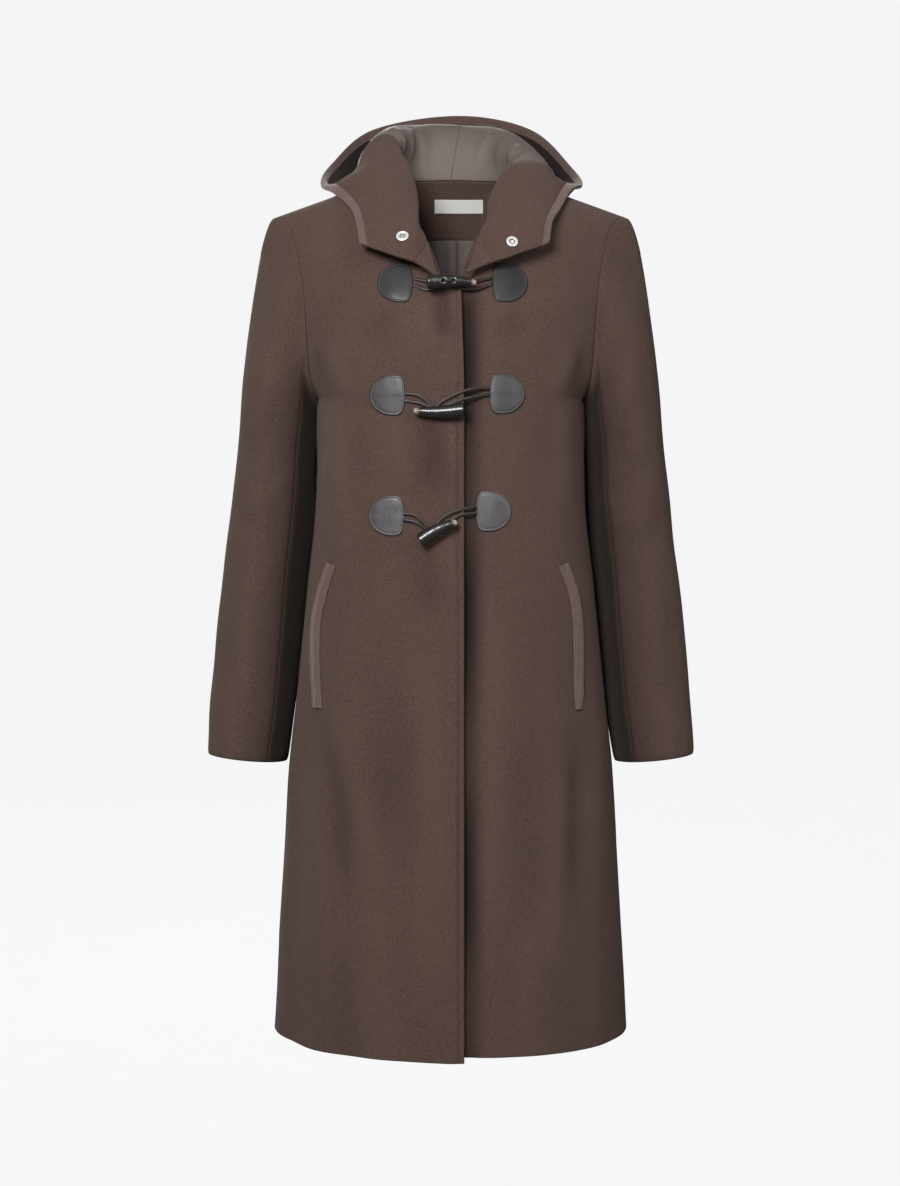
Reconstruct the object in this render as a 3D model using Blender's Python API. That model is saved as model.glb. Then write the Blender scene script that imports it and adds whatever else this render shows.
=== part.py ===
"""Duffle coat, filled out as on a wearer: knee-length wool shell, hood lying back, three toggle fastenings.

Metres, +Z up, front towards -Y. The origin lies midway between the shoulder seams, at the height of the
side neck. Sides are the wearer's: the wearer's right is at -X. Tables are in millimetres.
"""

import math

import bmesh
import bpy
import numpy as np

MM = 0.001
FRONT, BACK = -1, 1
RIGHT, LEFT = -1, 1
SIDE_NAMES = {RIGHT: "right", LEFT: "left"}

# Driving dimensions
WOOL_WALL = 2.2 * MM
LINING_WALL = 1.2 * MM
SEAM_GAP = 0.3 * MM
SEWN_ON_GAP = 0.6 * MM
HEM_Z = -0.972
CHEST_Z = -0.250
LAP_RIGHT_X = 0.0150
LAP_LEFT_X = -0.040
LAP_DEPTH = 0.0065
LAP_BLEND = 0.050
LAP_HEM_DIP = 0.006
ARMHOLE_INSET = {FRONT: 0.20, BACK: 0.17}
CAP_FULLNESS = 0.28
SLEEVE_SEAM_FRONT, SLEEVE_SEAM_BACK = 0.365, 0.70
ARMHOLE_LOW_ROUND, ARMHOLE_HIGH_ROUND = 0.55, 1.10
BINDING_WIDTH = 10 * MM
BINDING_PROUD = 0.5 * MM
HOOD_ROWS = 29
# Where the hood's grid lines lie: shares of the way to the roll, to the crest, into the pouch, to the binding
HOOD_STOPS = ((0.5, 1.0), (0.25, 0.5, 0.75, 1.0), (0.33, 0.66, 0.92, 1.0), (0.06, 0.36, 0.70, 1.0))
HOOD_FACING_CELLS = 1
HOOD_FACED_ROWS = {RIGHT: 7, LEFT: 6}
BODY_CLEARANCE, CLEARING_ROUNDS = 0.8 * MM, 3
NECK_SEAM_RISE = 2.6 * MM
FACING_WALL = 1.5 * MM
NECK_FACING_U, BACK_LINING_U = 0.43, 0.62
ROLL_U = (0.07, 0.15)
NECKLINE_U, NECKLINE_CLEARANCE = 0.46, 2.2 * MM
PLATE_SIDES = 20
CORD_POINTS = 22
PATCH_WIDTH, PATCH_HEIGHT, PATCH_WALL = 39 * MM, 44 * MM, 1.8 * MM
TOGGLE_BEND, TOGGLE_SIDES = 2.0 * MM, 12
# Share of a toggle's length and its radius there, from the thick end to the tip
TOGGLE_PROFILE = ((0, 7.2), (0.03, 8), (0.3, 7.6), (0.6, 6.4), (0.85, 4.8), (0.96, 3.6), (1.0, 1.6))
CORD_RADIUS = 1.5 * MM
WELT_WIDTH, WELT_WALL = 11 * MM, 2.4 * MM
LABEL_WIDTH, LABEL_HEIGHT, LABEL_WALL, LABEL_CLEARANCE = 58 * MM, 16 * MM, 1.0 * MM, 2.0 * MM
SNAP_RADIUS, SNAP_HEIGHT = 7.0 * MM, 2.5 * MM

# Body rings from hem to chest: half width, depth in front and behind, squareness, where the side seam lies
RINGS = (
    # z,   width, front, back, square, middle_y
    (-972, 203.0, 181, 163, 2.20, 0),
    (-870, 197.5, 174, 156, 2.25, 0),
    (-757, 191.0, 160, 153, 2.30, -4),
    (-664, 185.0, 147, 150, 2.35, -8),
    (-570, 174.5, 133, 143, 2.40, -12),
    (-457, 163.0, 122, 135, 2.40, -15),
    (-365, 153.0, 118, 130, 2.45, -15),
    (-250, 150.0, 118, 129, 2.45, -12),
)
# Top line of each half front: the roll at the throat, the side neck, then the shoulder seam. run is the
# direction in which the cloth arrives there
FRONT_TOP = (
    # u,    x,    y,    z,   run_x, run_y, run_z
    (0.00, 0.0, -109.0, -124.0, 0, 20, 125),
    (0.08, 12.0, -107.0, -121.0, 0, 25, 130),
    (0.15, 26.0, -86.0, -80.0, 0, 60, 150),
    (0.25, 50.0, -58.0, -46.0, 5, 110, 130),
    (0.36, 73.0, -22.0, -12.0, 8, 165, 80),
    (0.43, 82.0, 0.0, 0.0, 5, 190, 0),
    (0.70, 139.0, 0.0, -20.0, 0, 190, 0),
    (1.00, 202.0, 0.0, -42.5, 0, 140, 0),
)
BACK_TOP = (
    # u,    x,    y,    z,   run_x, run_y, run_z
    (0.00, 0.0, 70.0, 6.5, 0, -50, 90),
    (0.18, 36.0, 66.0, 5.5, 0, -70, 90),
    (0.29, 64.0, 48.0, 3.0, 3, -110, 80),
    (0.37, 77.0, 24.0, 1.5, 5, -160, 55),
    (0.43, 82.0, 0.0, 0.0, 5, -190, 0),
    (0.70, 139.0, 0.0, -20.0, 0, -190, 0),
    (1.00, 202.0, 0.0, -42.5, 0, -140, 0),
)
# Soft vertical folds: face, centre of the fold round the body, its half width, where it starts, its depth
FOLDS = (
    # face, u,    half, top_z, depth
    (FRONT, -0.70, 0.10, -560, -4.0),
    (FRONT, -0.52, 0.12, -480, 3.0),
    (FRONT, 0.66, 0.10, -520, -3.5),
    (FRONT, 0.46, 0.12, -560, 2.5),
    (BACK, -0.50, 0.14, -420, -5.0),
    (BACK, 0.45, 0.14, -450, -5.0),
    (BACK, 0.00, 0.16, -520, 3.0),
)
# Sleeve rings from below the armhole to the cuff: outermost and innermost point, depth, middle
SLEEVE_RINGS = (
    # outer_x, outer_z, inner_x, inner_z, half_depth, centre_y
    (240.0, -235, 152.0, -288, 65.0, 14),
    (247.5, -310, 151.0, -340, 63.0, 16),
    (255.0, -380, 155.5, -400, 61.0, 14),
    (263.0, -455, 163.5, -468, 58.5, 9),
    (270.0, -523, 170.5, -534, 56.5, 3),
    (275.5, -590, 178.5, -600, 54.0, -5),
    (279.5, -654, 187.0, -663, 52.0, -14),
)
# Hood sections, from the right throat over the back neck to the left throat. Each runs from its place on
# the neckline (the face and u of the body there, or a point) over the roll and the crest into the pouch
# and out to the face opening
HOOD_SECTIONS = (
    # neck,           roll,            crest,            pouch,            rim
    ((-40, -114, -101), (-55, -116, -97), (-70, -112, -92), (-86, -104, -86), (-100, -96, -79)),
    ((-27.5, -87, -74.5), (-42, -99, -69), (-66, -96, -64), (-86, -88, -58), (-105, -76, -52)),
    ((FRONT, -0.25), (-37, -52, -32), (-62, -66, -27), (-88, -63, -28), (-114, -50, -33)),
    ((FRONT, -0.36), (-46, -12, 12), (-78, -24, 17), (-108, -22, 5), (-134, -12, -14)),
    ((BACK, -0.38), (-60, 12, 38), (-92, 12, 40), (-122, 30, -6), (-150, 42, 2)),
    ((BACK, -0.30), (-54, 36, 52), (-76, 44, 62), (-106, 70, -34), (-140, 100, 31)),
    ((BACK, -0.18), (-36, 74, 58), (-48, 106, 75), (-66, 122, -82), (-92, 138, 76)),
    ((BACK, 0.0), (8, 82, 56), (12, 118, 74), (10, 134, -118), (10, 158, 95)),
    ((BACK, 0.18), (44, 74, 50), (62, 106, 62), (72, 122, -82), (96, 140, 76)),
    ((BACK, 0.30), (68, 42, 38), (94, 52, 42), (114, 72, -34), (144, 104, 26)),
    ((BACK, 0.38), (74, 10, 20), (108, 10, 19), (126, 28, -7), (152, 42, 1)),
    ((FRONT, 0.36), (62, -22, 10), (90, -28, 15), (113, -24, 3), (137, -13, -12)),
    ((FRONT, 0.25), (43, -54, -32), (69, -70, -29), (96, -67, -34), (122, -54, -38)),
    ((33, -86, -69), (52, -100, -68), (74, -98, -66), (94, -89, -60), (113, -77, -54)),
    ((48, -114, -101), (63, -116, -97), (79, -112, -91), (95, -104, -85), (109, -96, -78)),
)
# Toggle fastenings: for each patch its inner edge and the height of its middle; both ends of the toggle, the
# thick one first; the routes of cord and loop. Each point is x, z and its height above the cloth
FASTENINGS = {
    "top": {
        "patches": {RIGHT: (-42, -123.5), LEFT: (46, -123.5)},
        "toggle": ((-24, -130, 17.7), (27, -129, 13.7)),
        "cord": ((-40.5, -119, 2.6), (-25, -123, 3), (-6, -128.5, 3), (-25, -132, 3), (-40.5, -126, 2.6)),
        "loop": ((44.5, -118.5, 2.6), (26, -122.5, 3.3), (3, -128, 3.4), (26, -131.5, 3.3), (44.5, -125, 2.6)),
    },
    "middle": {
        "patches": {RIGHT: (-50, -248.5), LEFT: (42.5, -247)},
        "toggle": ((14.5, -265, 11.5), (-39.5, -266, 9.6)),
        "cord": (
            (-48.5, -246.5, 2.4), (-34, -249.5, 2.4), (-21, -262, 2.4), (-35, -257, 2.4), (-48.5, -254.5, 2.4),
        ),
        "loop": (
            (41, -241, 2.4), (24, -241.5, 2.4), (3, -249, 2.4), (-11, -257, 2.4), (-15, -261.5, 2.4),
            (-9, -262, 2.4), (4, -256.5, 2.4), (22, -251, 2.4), (41, -247.5, 2.4),
        ),
    },
    "low": {
        "patches": {RIGHT: (-51, -381), LEFT: (27.5, -376)},
        "toggle": ((-33, -409, 11.6), (7, -387.5, 11.6)),
        "cord": (
            (-49.5, -378.5, 2.4), (-38, -381, 2.4), (-23, -399, 2.4), (-37, -388.5, 2.4), (-49.5, -385.5, 2.4),
        ),
        "loop": (
            (26, -371, 2.4), (13, -373.5, 2.4), (-5, -381, 2.4), (-14, -389, 2.4), (-15, -394, 2.4),
            (-9, -393, 2.4), (-2, -388, 2.4), (10, -380.5, 2.4), (26, -377.5, 2.4),
        ),
    },
}
# Pocket welts: middle line on each front, from top to bottom
WELTS = {
    RIGHT: ((-132, -436), (-141, -463), (-149, -498), (-151, -540), (-148, -596)),
    LEFT: ((125, -436), (135, -464), (140, -492), (142, -535), (142, -597)),
}
BACK_FACING_LOW_Z = -0.0585
LABEL_X, LABEL_Z = 0.010, -0.020
BACK_LINING_LOW_Z = -0.250
# Press stud halves on the hood facing: x and z
SNAPS = {RIGHT: (-53, -73.5), LEFT: (67.5, -80)}

# Colours of the cloths and trims, with roughness and metallic value
FINISHES = {
    "wool": ((0.100, 0.062, 0.052), 0.95, 0.0),
    "suede": ((0.160, 0.100, 0.090), 0.90, 0.0),
    "satin": ((0.140, 0.118, 0.105), 0.45, 0.0),
    "leather": ((0.075, 0.066, 0.070), 0.45, 0.0),
    "horn": ((0.030, 0.022, 0.018), 0.25, 0.0),
    "woven": ((0.800, 0.800, 0.780), 0.80, 0.0),
    "steel": ((0.750, 0.740, 0.730), 0.25, 1.0),
}


def level_slopes(knots, values):
    """Slopes that keep a table's curve from swinging past its own rows."""
    gaps = np.diff(knots).reshape((-1,) + (1,) * (values.ndim - 1))
    steps = np.diff(values, axis=0) / gaps
    before, after = steps[:-1], steps[1:]
    same_way = before * after > 0
    safe_before, safe_after = np.where(same_way, before, 1), np.where(same_way, after, 1)
    inner = np.where(same_way, 2 / (1 / safe_before + 1 / safe_after), 0)
    return np.concatenate([steps[:1], inner, steps[-1:]])


def interpolate(knots, values, at, slopes_of=level_slopes):
    """A smooth curve through values at knots, read at the given places. Values may be vectors."""
    knots = np.asarray(knots, float)
    values = np.asarray(values, float)
    at = np.clip(np.asarray(at, float), knots[0], knots[-1])
    slopes = slopes_of(knots, values)
    left = np.clip(np.searchsorted(knots, at, side="right") - 1, 0, len(knots) - 2)
    span = knots[left + 1] - knots[left]
    v = (at - knots[left]) / span
    if values.ndim > 1:
        span = span[..., None]
        v = v[..., None]
    keep, rise = 2 * v**3 - 3 * v**2 + 1, v**3 - 2 * v**2 + v
    reach, fall = 3 * v**2 - 2 * v**3, v**3 - v**2
    return (
        keep * values[left]
        + rise * span * slopes[left]
        + reach * values[left + 1]
        + fall * span * slopes[left + 1]
    )


def unit(vectors):
    return vectors / np.maximum(np.linalg.norm(vectors, axis=-1, keepdims=True), 1e-12)


def ring_point(face, u, z):
    """Point of the body's outline at height z. u runs from 0 in the middle to +-1 at the side seams."""
    table = np.array(RINGS)
    width, front, back, square, middle_y = np.moveaxis(interpolate(table[:, 0] * MM, table[:, 1:], z), -1, 0)
    depth = (front if face == FRONT else back) * MM
    width = width * MM
    turn = u * math.pi / 2
    across, along = np.sin(turn), np.cos(turn)
    radius = ((np.abs(across) / width) ** square + (np.abs(along) / depth) ** square) ** (-1 / square)
    for fold_face, middle, half, top_z, fold_depth in FOLDS:
        if fold_face == face:
            grown = np.clip((top_z * MM - z) / 0.16, 0, 1)
            radius = radius + fold_depth * MM * grown * np.exp(-(((u - middle) / half) ** 2))
    return np.stack([radius * across, face * radius * along + middle_y * MM, z], axis=-1)


def torso(face, u, t):
    """Outer face of the body. t runs from 0 at the hem over 1 at the chest to 2 at neck and shoulder."""
    u, t = np.broadcast_arrays(np.asarray(u, float), np.asarray(t, float))
    low = ring_point(face, u, HEM_Z + np.minimum(t, 1) * (CHEST_Z - HEM_Z))
    top_table = np.array(FRONT_TOP if face == FRONT else BACK_TOP)
    top = interpolate(top_table[:, 0], top_table[:, 1:] * MM, np.abs(u))
    side = np.where(u < 0, -1.0, 1.0)
    end, run = top[..., :3].copy(), top[..., 3:].copy()
    end[..., 0] *= side
    run[..., 0] *= side
    start = ring_point(face, u, np.full(u.shape, CHEST_Z))
    flare = side * 0.13 * np.clip((np.abs(u) - 0.45) / 0.4, 0, 1) ** 1.5
    rise = 1.05 * (end[..., 2] - start[..., 2])
    leave = np.stack([flare, np.zeros_like(u), rise], axis=-1)
    v = np.clip(t - 1, 0, 1)[..., None]
    high = (
        (2 * v**3 - 3 * v**2 + 1) * start
        + (v**3 - 2 * v**2 + v) * leave
        + (3 * v**2 - 2 * v**3) * end
        + (v**3 - v**2) * run
    )
    return np.where(t[..., None] <= 1, low, high)


def torso_normal(face, u, t):
    """Outward direction of the body's face."""
    step = 1e-3
    u, t = np.broadcast_arrays(np.asarray(u, float), np.asarray(t, float))
    t = np.clip(t, step, 2 - step)
    across = torso(face, u + step, t) - torso(face, u - step, t)
    upward = torso(face, u, t + step) - torso(face, u, t - step)
    return unit(np.cross(across, upward)) * (-1 if face == BACK else 1)


def front_point(side, u, t):
    """Outer face of one front. The left front sinks under the right one where they lap."""
    point = torso(FRONT, u, t)
    if side == LEFT:
        covered = np.clip((LAP_RIGHT_X + LAP_BLEND - point[..., 0]) / LAP_BLEND, 0, 1)
        return point - torso_normal(FRONT, u, t) * (LAP_DEPTH * covered**2)[..., None]
    dip = LAP_HEM_DIP * np.clip(1 - np.abs(u), 0, 1) ** 2 * np.clip(1 - 8 * t, 0, 1)
    return point - np.stack([0 * dip, 0 * dip, dip], axis=-1)


def armhole_u(face, t):
    """Where the armhole's edge lies round the body at each height above the chest."""
    height = np.clip(np.asarray(t, float) - 1, 0, 1)
    deepest = ARMHOLE_LOW_ROUND / (ARMHOLE_LOW_ROUND + ARMHOLE_HIGH_ROUND)

    def scoop(h):
        return h**ARMHOLE_LOW_ROUND * (1 - h) ** ARMHOLE_HIGH_ROUND

    return 1 - ARMHOLE_INSET[face] * scoop(height) / scoop(deepest)


def short_diagonals(points):
    """Which squares of a grid are better split from their second corner."""
    first = np.linalg.norm(points[:-1, :-1] - points[1:, 1:], axis=-1)
    second = np.linalg.norm(points[:-1, 1:] - points[1:, :-1], axis=-1)
    return second < first


def grid_normals(points, split):
    """Direction of the surface at each grid point: the mean of its triangles, weighted by angle."""
    place = np.indices(split.shape)
    total = np.zeros(points.shape)
    corners = np.array([(0, 0), (0, 1), (1, 1), (1, 0)])
    for turned in (False, True):
        i, j = place[:, split == turned]
        order = np.roll(corners, -1, axis=0) if turned else corners
        for three in (order[:3], order[[2, 3, 0]]):
            index = [(i + down, j + right) for down, right in three]
            spots = [points[k] for k in index]
            face_way = unit(np.cross(spots[2] - spots[0], spots[1] - spots[0]))
            for k in range(3):
                one, other = unit(spots[k - 1] - spots[k]), unit(spots[k - 2] - spots[k])
                angle = np.arccos(np.clip((one * other).sum(axis=-1), -1, 1))
                np.add.at(total, index[k], face_way * angle[:, None])
    return unit(total)


def sheet(name, outer, outward, wall, finish, cells=None, split=None):
    """A closed solid from a grid of points on the cloth's outer face, with its wall behind them.

    cells marks the squares of the grid that the piece covers. Its edges draw back by half a seam's gap.
    split marks the squares whose diagonal starts at the second corner.
    """
    split = short_diagonals(outer) if split is None else split
    rows, columns = outer.shape[:2]
    cells = np.ones((rows - 1, columns - 1), bool) if cells is None else cells
    centres = (outer[:-1, :-1] + outer[1:, :-1] + outer[:-1, 1:] + outer[1:, 1:]) / 4
    total, count = np.zeros(outer.shape), np.zeros((rows, columns))
    for i, j in ((0, 0), (0, 1), (1, 0), (1, 1)):
        total[i : rows - 1 + i, j : columns - 1 + j] += np.where(cells[..., None], centres, 0)
        count[i : rows - 1 + i, j : columns - 1 + j] += cells
    inward = unit(total / np.maximum(count, 1)[..., None] - outer)
    draw_back = np.choose(count.astype(int), [0, 1.45, 1, 0.7, 0]) * SEAM_GAP * 0.75
    outer = outer + inward * draw_back[..., None]
    inner = outer - outward * wall
    shape = bmesh.new()
    front, behind = {}, {}
    for i, j in zip(*np.nonzero(count)):
        front[i, j], behind[i, j] = shape.verts.new(outer[i, j]), shape.verts.new(inner[i, j])
    for i, j in zip(*np.nonzero(cells)):
        corners = [(i, j), (i, j + 1), (i + 1, j + 1), (i + 1, j)]
        turned = corners[1:] + corners[:1] if split[i, j] else corners
        for three in (turned[:3], turned[2:] + turned[:1]):
            shape.faces.new([front[corner] for corner in three])
            shape.faces.new([behind[corner] for corner in reversed(three)])
        for (start, end), (k, m) in zip(
            zip(corners, corners[1:] + corners[:1]), ((i - 1, j), (i, j + 1), (i + 1, j), (i, j - 1))
        ):
            if not (0 <= k < rows - 1 and 0 <= m < columns - 1 and cells[k, m]):
                lean = outer[start] + inner[end] - outer[end] - inner[start]
                if lean @ (inward[start] + inward[end]) < 0:
                    start, end = end, start
                shape.faces.new((front[start], behind[start], behind[end]))
                shape.faces.new((front[start], behind[end], front[end]))
    return finished(name, shape, finish)


def finished(name, shape, finish):
    """Turns a closed bmesh into the scene's object of that name, smooth but for its rims."""
    bmesh.ops.recalc_face_normals(shape, faces=shape.faces)
    mesh = bpy.data.meshes.new(name)
    shape.to_mesh(mesh)
    shape.free()
    mesh.shade_smooth()
    mesh.set_sharp_from_angle(angle=math.radians(50))
    obj = bpy.data.objects.new(name, mesh)
    bpy.context.scene.collection.objects.link(obj)
    mesh.materials.append(material(finish))
    return obj


def material(finish):
    """The named finish, made once."""
    found = bpy.data.materials.get(finish)
    if found:
        return found
    color, roughness, metallic = FINISHES[finish]
    made = bpy.data.materials.new(finish)
    made.use_nodes = True
    shader = made.node_tree.nodes["Principled BSDF"]
    shader.inputs["Base Color"].default_value = (*color, 1)
    shader.inputs["Roughness"].default_value = roughness
    shader.inputs["Metallic"].default_value = metallic
    return made


def spaced(start, stop, count, ease=0.0):
    """Fractions from start to stop, drawn together at both ends by ease."""
    even = np.linspace(0, 1, count)
    eased = even - ease * np.sin(2 * math.pi * even) / (2 * math.pi)
    return start + (stop - start) * eased


def body_rows():
    """t of the body's grid rows. One of them is the lower edge of the back neck facing."""
    rows = np.concatenate([np.linspace(0, 1, 12)[:-1], 1 + spaced(0, 1, 11, 0.5)])
    facing = float(t_at_height(np.zeros(1), BACK_FACING_LOW_Z)[0])
    rows[np.argmin(np.abs(rows - facing))] = facing
    return rows


def t_at_height(u, z):
    """t at which the back reaches height z, for each u."""
    low, high = np.zeros_like(u), np.full_like(u, 2.0)
    for _ in range(40):
        middle = (low + high) / 2
        above = torso(BACK, u, middle)[..., 2] > z
        low, high = np.where(above, low, middle), np.where(above, middle, high)
    return low


def make_fronts():
    """Both fronts, from the lapped front edge to side seam and armhole."""
    for side in (RIGHT, LEFT):
        edge_x = LAP_RIGHT_X if side == RIGHT else LAP_LEFT_X
        t = body_rows()
        outer_u = np.where(t > 1, armhole_u(FRONT, t), 1.0)
        edge_u = -np.array([edge_position(edge_x, row) for row in t])
        share = spaced(0, 1, 11, 0.3)
        u = (edge_u[:, None] + (outer_u - edge_u)[:, None] * share) * side
        t = np.repeat(t[:, None], len(share), axis=1)
        points, normals = front_point(side, u, t), torso_normal(FRONT, u, t)
        sheet(f"front_{SIDE_NAMES[side]}", points, normals, WOOL_WALL, "wool")


def edge_position(edge_x, t):
    """u of the front edge, which stays at edge_x from the hem to the throat."""
    low, high = 0.0, 0.6
    for _ in range(40):
        middle = (low + high) / 2
        if torso(FRONT, middle, min(t, 1.0))[0] < abs(edge_x):
            low = middle
        else:
            high = middle
    return low


def make_back():
    """The back, and inside it the neck facing with its bare label and the lining below."""
    t = body_rows()
    edge = np.where(t > 1, armhole_u(BACK, t), 1.0)
    u = edge[:, None] * spaced(-1, 1, 19, 0.2)
    t = np.repeat(t[:, None], u.shape[1], axis=1)
    points, normals = torso(BACK, u, t), torso_normal(BACK, u, t)
    sheet("back", points, normals, WOOL_WALL, "wool")
    middle_u = np.abs(u[:-1, :-1] + u[1:, 1:]) / 2
    low_z, high_z = points[:-1, 9:10, 2] + 0.001, points[1:, 9:10, 2] - 0.001
    behind = points - normals * (WOOL_WALL + SEAM_GAP)
    faced = (low_z > BACK_FACING_LOW_Z) & (middle_u < NECK_FACING_U)
    sheet("neck_facing", behind, normals, FACING_WALL, "wool", faced)
    lined = (high_z < BACK_FACING_LOW_Z) & (low_z > BACK_LINING_LOW_Z) & (middle_u < BACK_LINING_U)
    sheet("back_lining", behind, normals, LINING_WALL, "satin", lined)
    x = LABEL_X + np.linspace(-0.5, 0.5, 5) * LABEL_WIDTH
    x, z = np.meshgrid(x, LABEL_Z + np.linspace(-0.5, 0.5, 3) * LABEL_HEIGHT)
    u, t = locate(lambda u, t: torso(BACK, u, t), x, z)
    depth = WOOL_WALL + FACING_WALL + 2 * SEAM_GAP + LABEL_CLEARANCE
    normals = torso_normal(BACK, u, t)
    sheet("neck_label", torso(BACK, u, t) - normals * depth, normals, LABEL_WALL, "woven")


def armhole_loop(share):
    """Left armhole from the shoulder tip down the front and up the back: points, and the way the body's
    cloth would run on past each."""
    fine = np.linspace(0, 1, 161)
    down, up = 2 - fine, 1 + fine[1:]
    front_u, back_u = armhole_u(FRONT, down), armhole_u(BACK, up)
    path = np.concatenate([torso(FRONT, front_u, down), torso(BACK, back_u, up)])
    normal = np.concatenate([torso_normal(FRONT, front_u, down), torso_normal(BACK, back_u, up)])
    onward = unit(np.cross(normal, np.gradient(path, axis=0)))
    length = np.concatenate([[0], np.cumsum(np.linalg.norm(np.diff(path, axis=0), axis=1))])
    at = np.mod(share, 1) * length[-1]
    both = np.concatenate([path, onward], axis=1)
    both = np.stack([np.interp(at, length, both[:, k]) for k in range(6)], axis=-1)
    return both[..., :3], both[..., 3:]


def sleeve_ring(turn, s):
    """Point of the left sleeve below the armhole. turn 0 is outermost, a quarter is in front."""
    table = np.array(SLEEVE_RINGS) * MM
    row = interpolate(np.arange(len(table)), table, s)
    outer_x, outer_z, inner_x, inner_z, half_depth, centre_y = np.moveaxis(row, -1, 0)
    angle = turn * 2 * math.pi
    x = (outer_x + inner_x) / 2 + (outer_x - inner_x) / 2 * np.cos(angle)
    z = (outer_z + inner_z) / 2 + (outer_z - inner_z) / 2 * np.cos(angle)
    return np.stack([x, centre_y - half_depth * np.sin(angle), z], axis=-1)


def sleeve(turn, v):
    """The left sleeve: v from 0 at the armhole to 1 at the first ring, then one ring for each unit."""
    turn, v = np.broadcast_arrays(np.asarray(turn, float), np.asarray(v, float))
    start, body_way = armhole_loop(turn)
    end = sleeve_ring(turn, np.zeros_like(turn))
    onward = (sleeve_ring(turn, np.full_like(turn, 0.1)) - end) / 0.1
    reach = np.linalg.norm(end - start, axis=-1, keepdims=True)
    angle = turn * 2 * math.pi
    high = ((1 + np.cos(angle)) / 2)[..., None]
    arm_way = np.stack([1 + 0 * angle, -0.3 * np.sin(angle), -0.25 + 0 * angle], axis=-1)
    outward = unit(high * body_way + (1 - high) * arm_way)
    onward = unit(onward) * reach
    w = np.clip(v, 0, 1)[..., None]
    cap = (
        (2 * w**3 - 3 * w**2 + 1) * start
        + (w**3 - 2 * w**2 + w) * outward * reach * CAP_FULLNESS
        + (3 * w**2 - 2 * w**3) * end
        + (w**3 - w**2) * onward * 0.9
    )
    return np.where(v[..., None] <= 1, cap, sleeve_ring(turn, np.maximum(v - 1, 0)))


def sleeve_normal(turn, v):
    step = 2e-3
    last = len(SLEEVE_RINGS)
    v = np.clip(v, step, last - step)
    around = sleeve(np.mod(turn + step, 1), v) - sleeve(np.mod(turn - step, 1), v)
    along = sleeve(np.mod(turn, 1), v + step) - sleeve(np.mod(turn, 1), v - step)
    return unit(np.cross(around, along))


def armhole_turns():
    """Shares of the way round the armhole at which the body's rows reach it, from one tip to the next."""
    t = body_rows()
    t = t[t >= 1]
    fine = np.linspace(1, 2, 2001)
    lengths = []
    for face in (FRONT, BACK):
        path = torso(face, armhole_u(face, fine), fine)
        length = np.concatenate([[0], np.cumsum(np.linalg.norm(np.diff(path, axis=0), axis=1))])
        lengths.append((np.interp(t, fine, length), length[-1]))
    (front, front_all), (back, back_all) = lengths
    return np.concatenate([(front_all - front)[::-1], front_all + back[1:]]) / (front_all + back_all)


def make_sleeves():
    """Upper and under sleeves. The right ones mirror the left."""
    v = np.concatenate([np.linspace(0, 1, 7)[:-1], np.linspace(1, len(SLEEVE_RINGS), 9)])
    turns = armhole_turns()
    first, last = np.searchsorted(turns, (SLEEVE_SEAM_FRONT, SLEEVE_SEAM_BACK))
    pieces = {
        "upper": np.concatenate([turns[last:-1] - 1, turns[: first + 1]]),
        "under": turns[first : last + 1],
    }
    for piece, turn in pieces.items():
        turn, rows = np.meshgrid(np.mod(turn, 1), v)
        outer, normal = sleeve(turn, rows), sleeve_normal(turn, rows)
        for side in (RIGHT, LEFT):
            mirror = np.array([side, 1, 1])
            sheet(f"sleeve_{piece}_{SIDE_NAMES[side]}", outer * mirror, normal * mirror, WOOL_WALL, "wool")


def neck_seam(place):
    """Where the hood's middle layer meets the neckline: at a point, or just past the body's top edge at u."""
    if len(place) == 3:
        return np.array(place) * MM
    face, u = place
    step = 0.01
    edge, normal = torso(face, u, 2.0), torso_normal(face, u, 2.0)
    onward = unit(np.cross(torso(face, u + step, 2.0) - torso(face, u - step, 2.0), normal))
    onward = onward * np.sign(onward @ (edge - torso(face, u, 1.9)))
    return edge - normal * WOOL_WALL / 2 + onward * NECK_SEAM_RISE


def hood_path(a):
    """The smooth section of the hood at a, from neck seam to face opening: a fine path, the length along it
    and the lengths at which it passes the table's points."""
    flat = np.array([np.concatenate([neck_seam(neck), *np.array(rest) * MM]) for neck, *rest in HOOD_SECTIONS])
    points = interpolate(np.arange(len(flat)), flat, a, curve_slopes).reshape(-1, 3)
    steps = np.linalg.norm(np.diff(points, axis=0), axis=1)
    knots = np.concatenate([[0], np.cumsum(steps**0.6)])
    fine = np.linspace(0, knots[-1], 161)
    path = interpolate(knots, points, fine, curve_slopes)
    length = np.concatenate([[0], np.cumsum(np.linalg.norm(np.diff(path, axis=0), axis=1))])
    return path, length, np.interp(knots, fine, length)


def curve_slopes(knots, values):
    return np.gradient(values, knots, axis=0)


def hood_row(a):
    """Points of the hood's middle layer at section a, from the neck seam to the face opening."""
    path, length, marks = hood_path(a)
    marks[-1] -= BINDING_WIDTH
    stops = [low + (high - low) * np.array(part) for low, high, part in zip(marks, marks[1:], HOOD_STOPS)]
    stops = np.concatenate([[0], *stops, [length[-1]]])
    return np.stack([np.interp(stops, length, path[:, k]) for k in range(3)], axis=-1)


def hood_grid():
    """Points of the hood's middle layer with the directions of its lining side, from section to section.

    The last column is the face opening, the one before it the inner edge of the binding.
    """
    sections = np.linspace(0, len(HOOD_SECTIONS) - 1, HOOD_ROWS)
    points = np.array([hood_row(a) for a in sections])
    depth = WOOL_WALL + SEAM_GAP + BINDING_PROUD
    for _ in range(CLEARING_ROUNDS):
        normals = grid_normals(points, short_diagonals(points))
        points = clear_of_body(clear_of_neckline(points, depth), normals, depth)
    return points, grid_normals(points, short_diagonals(points))


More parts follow.
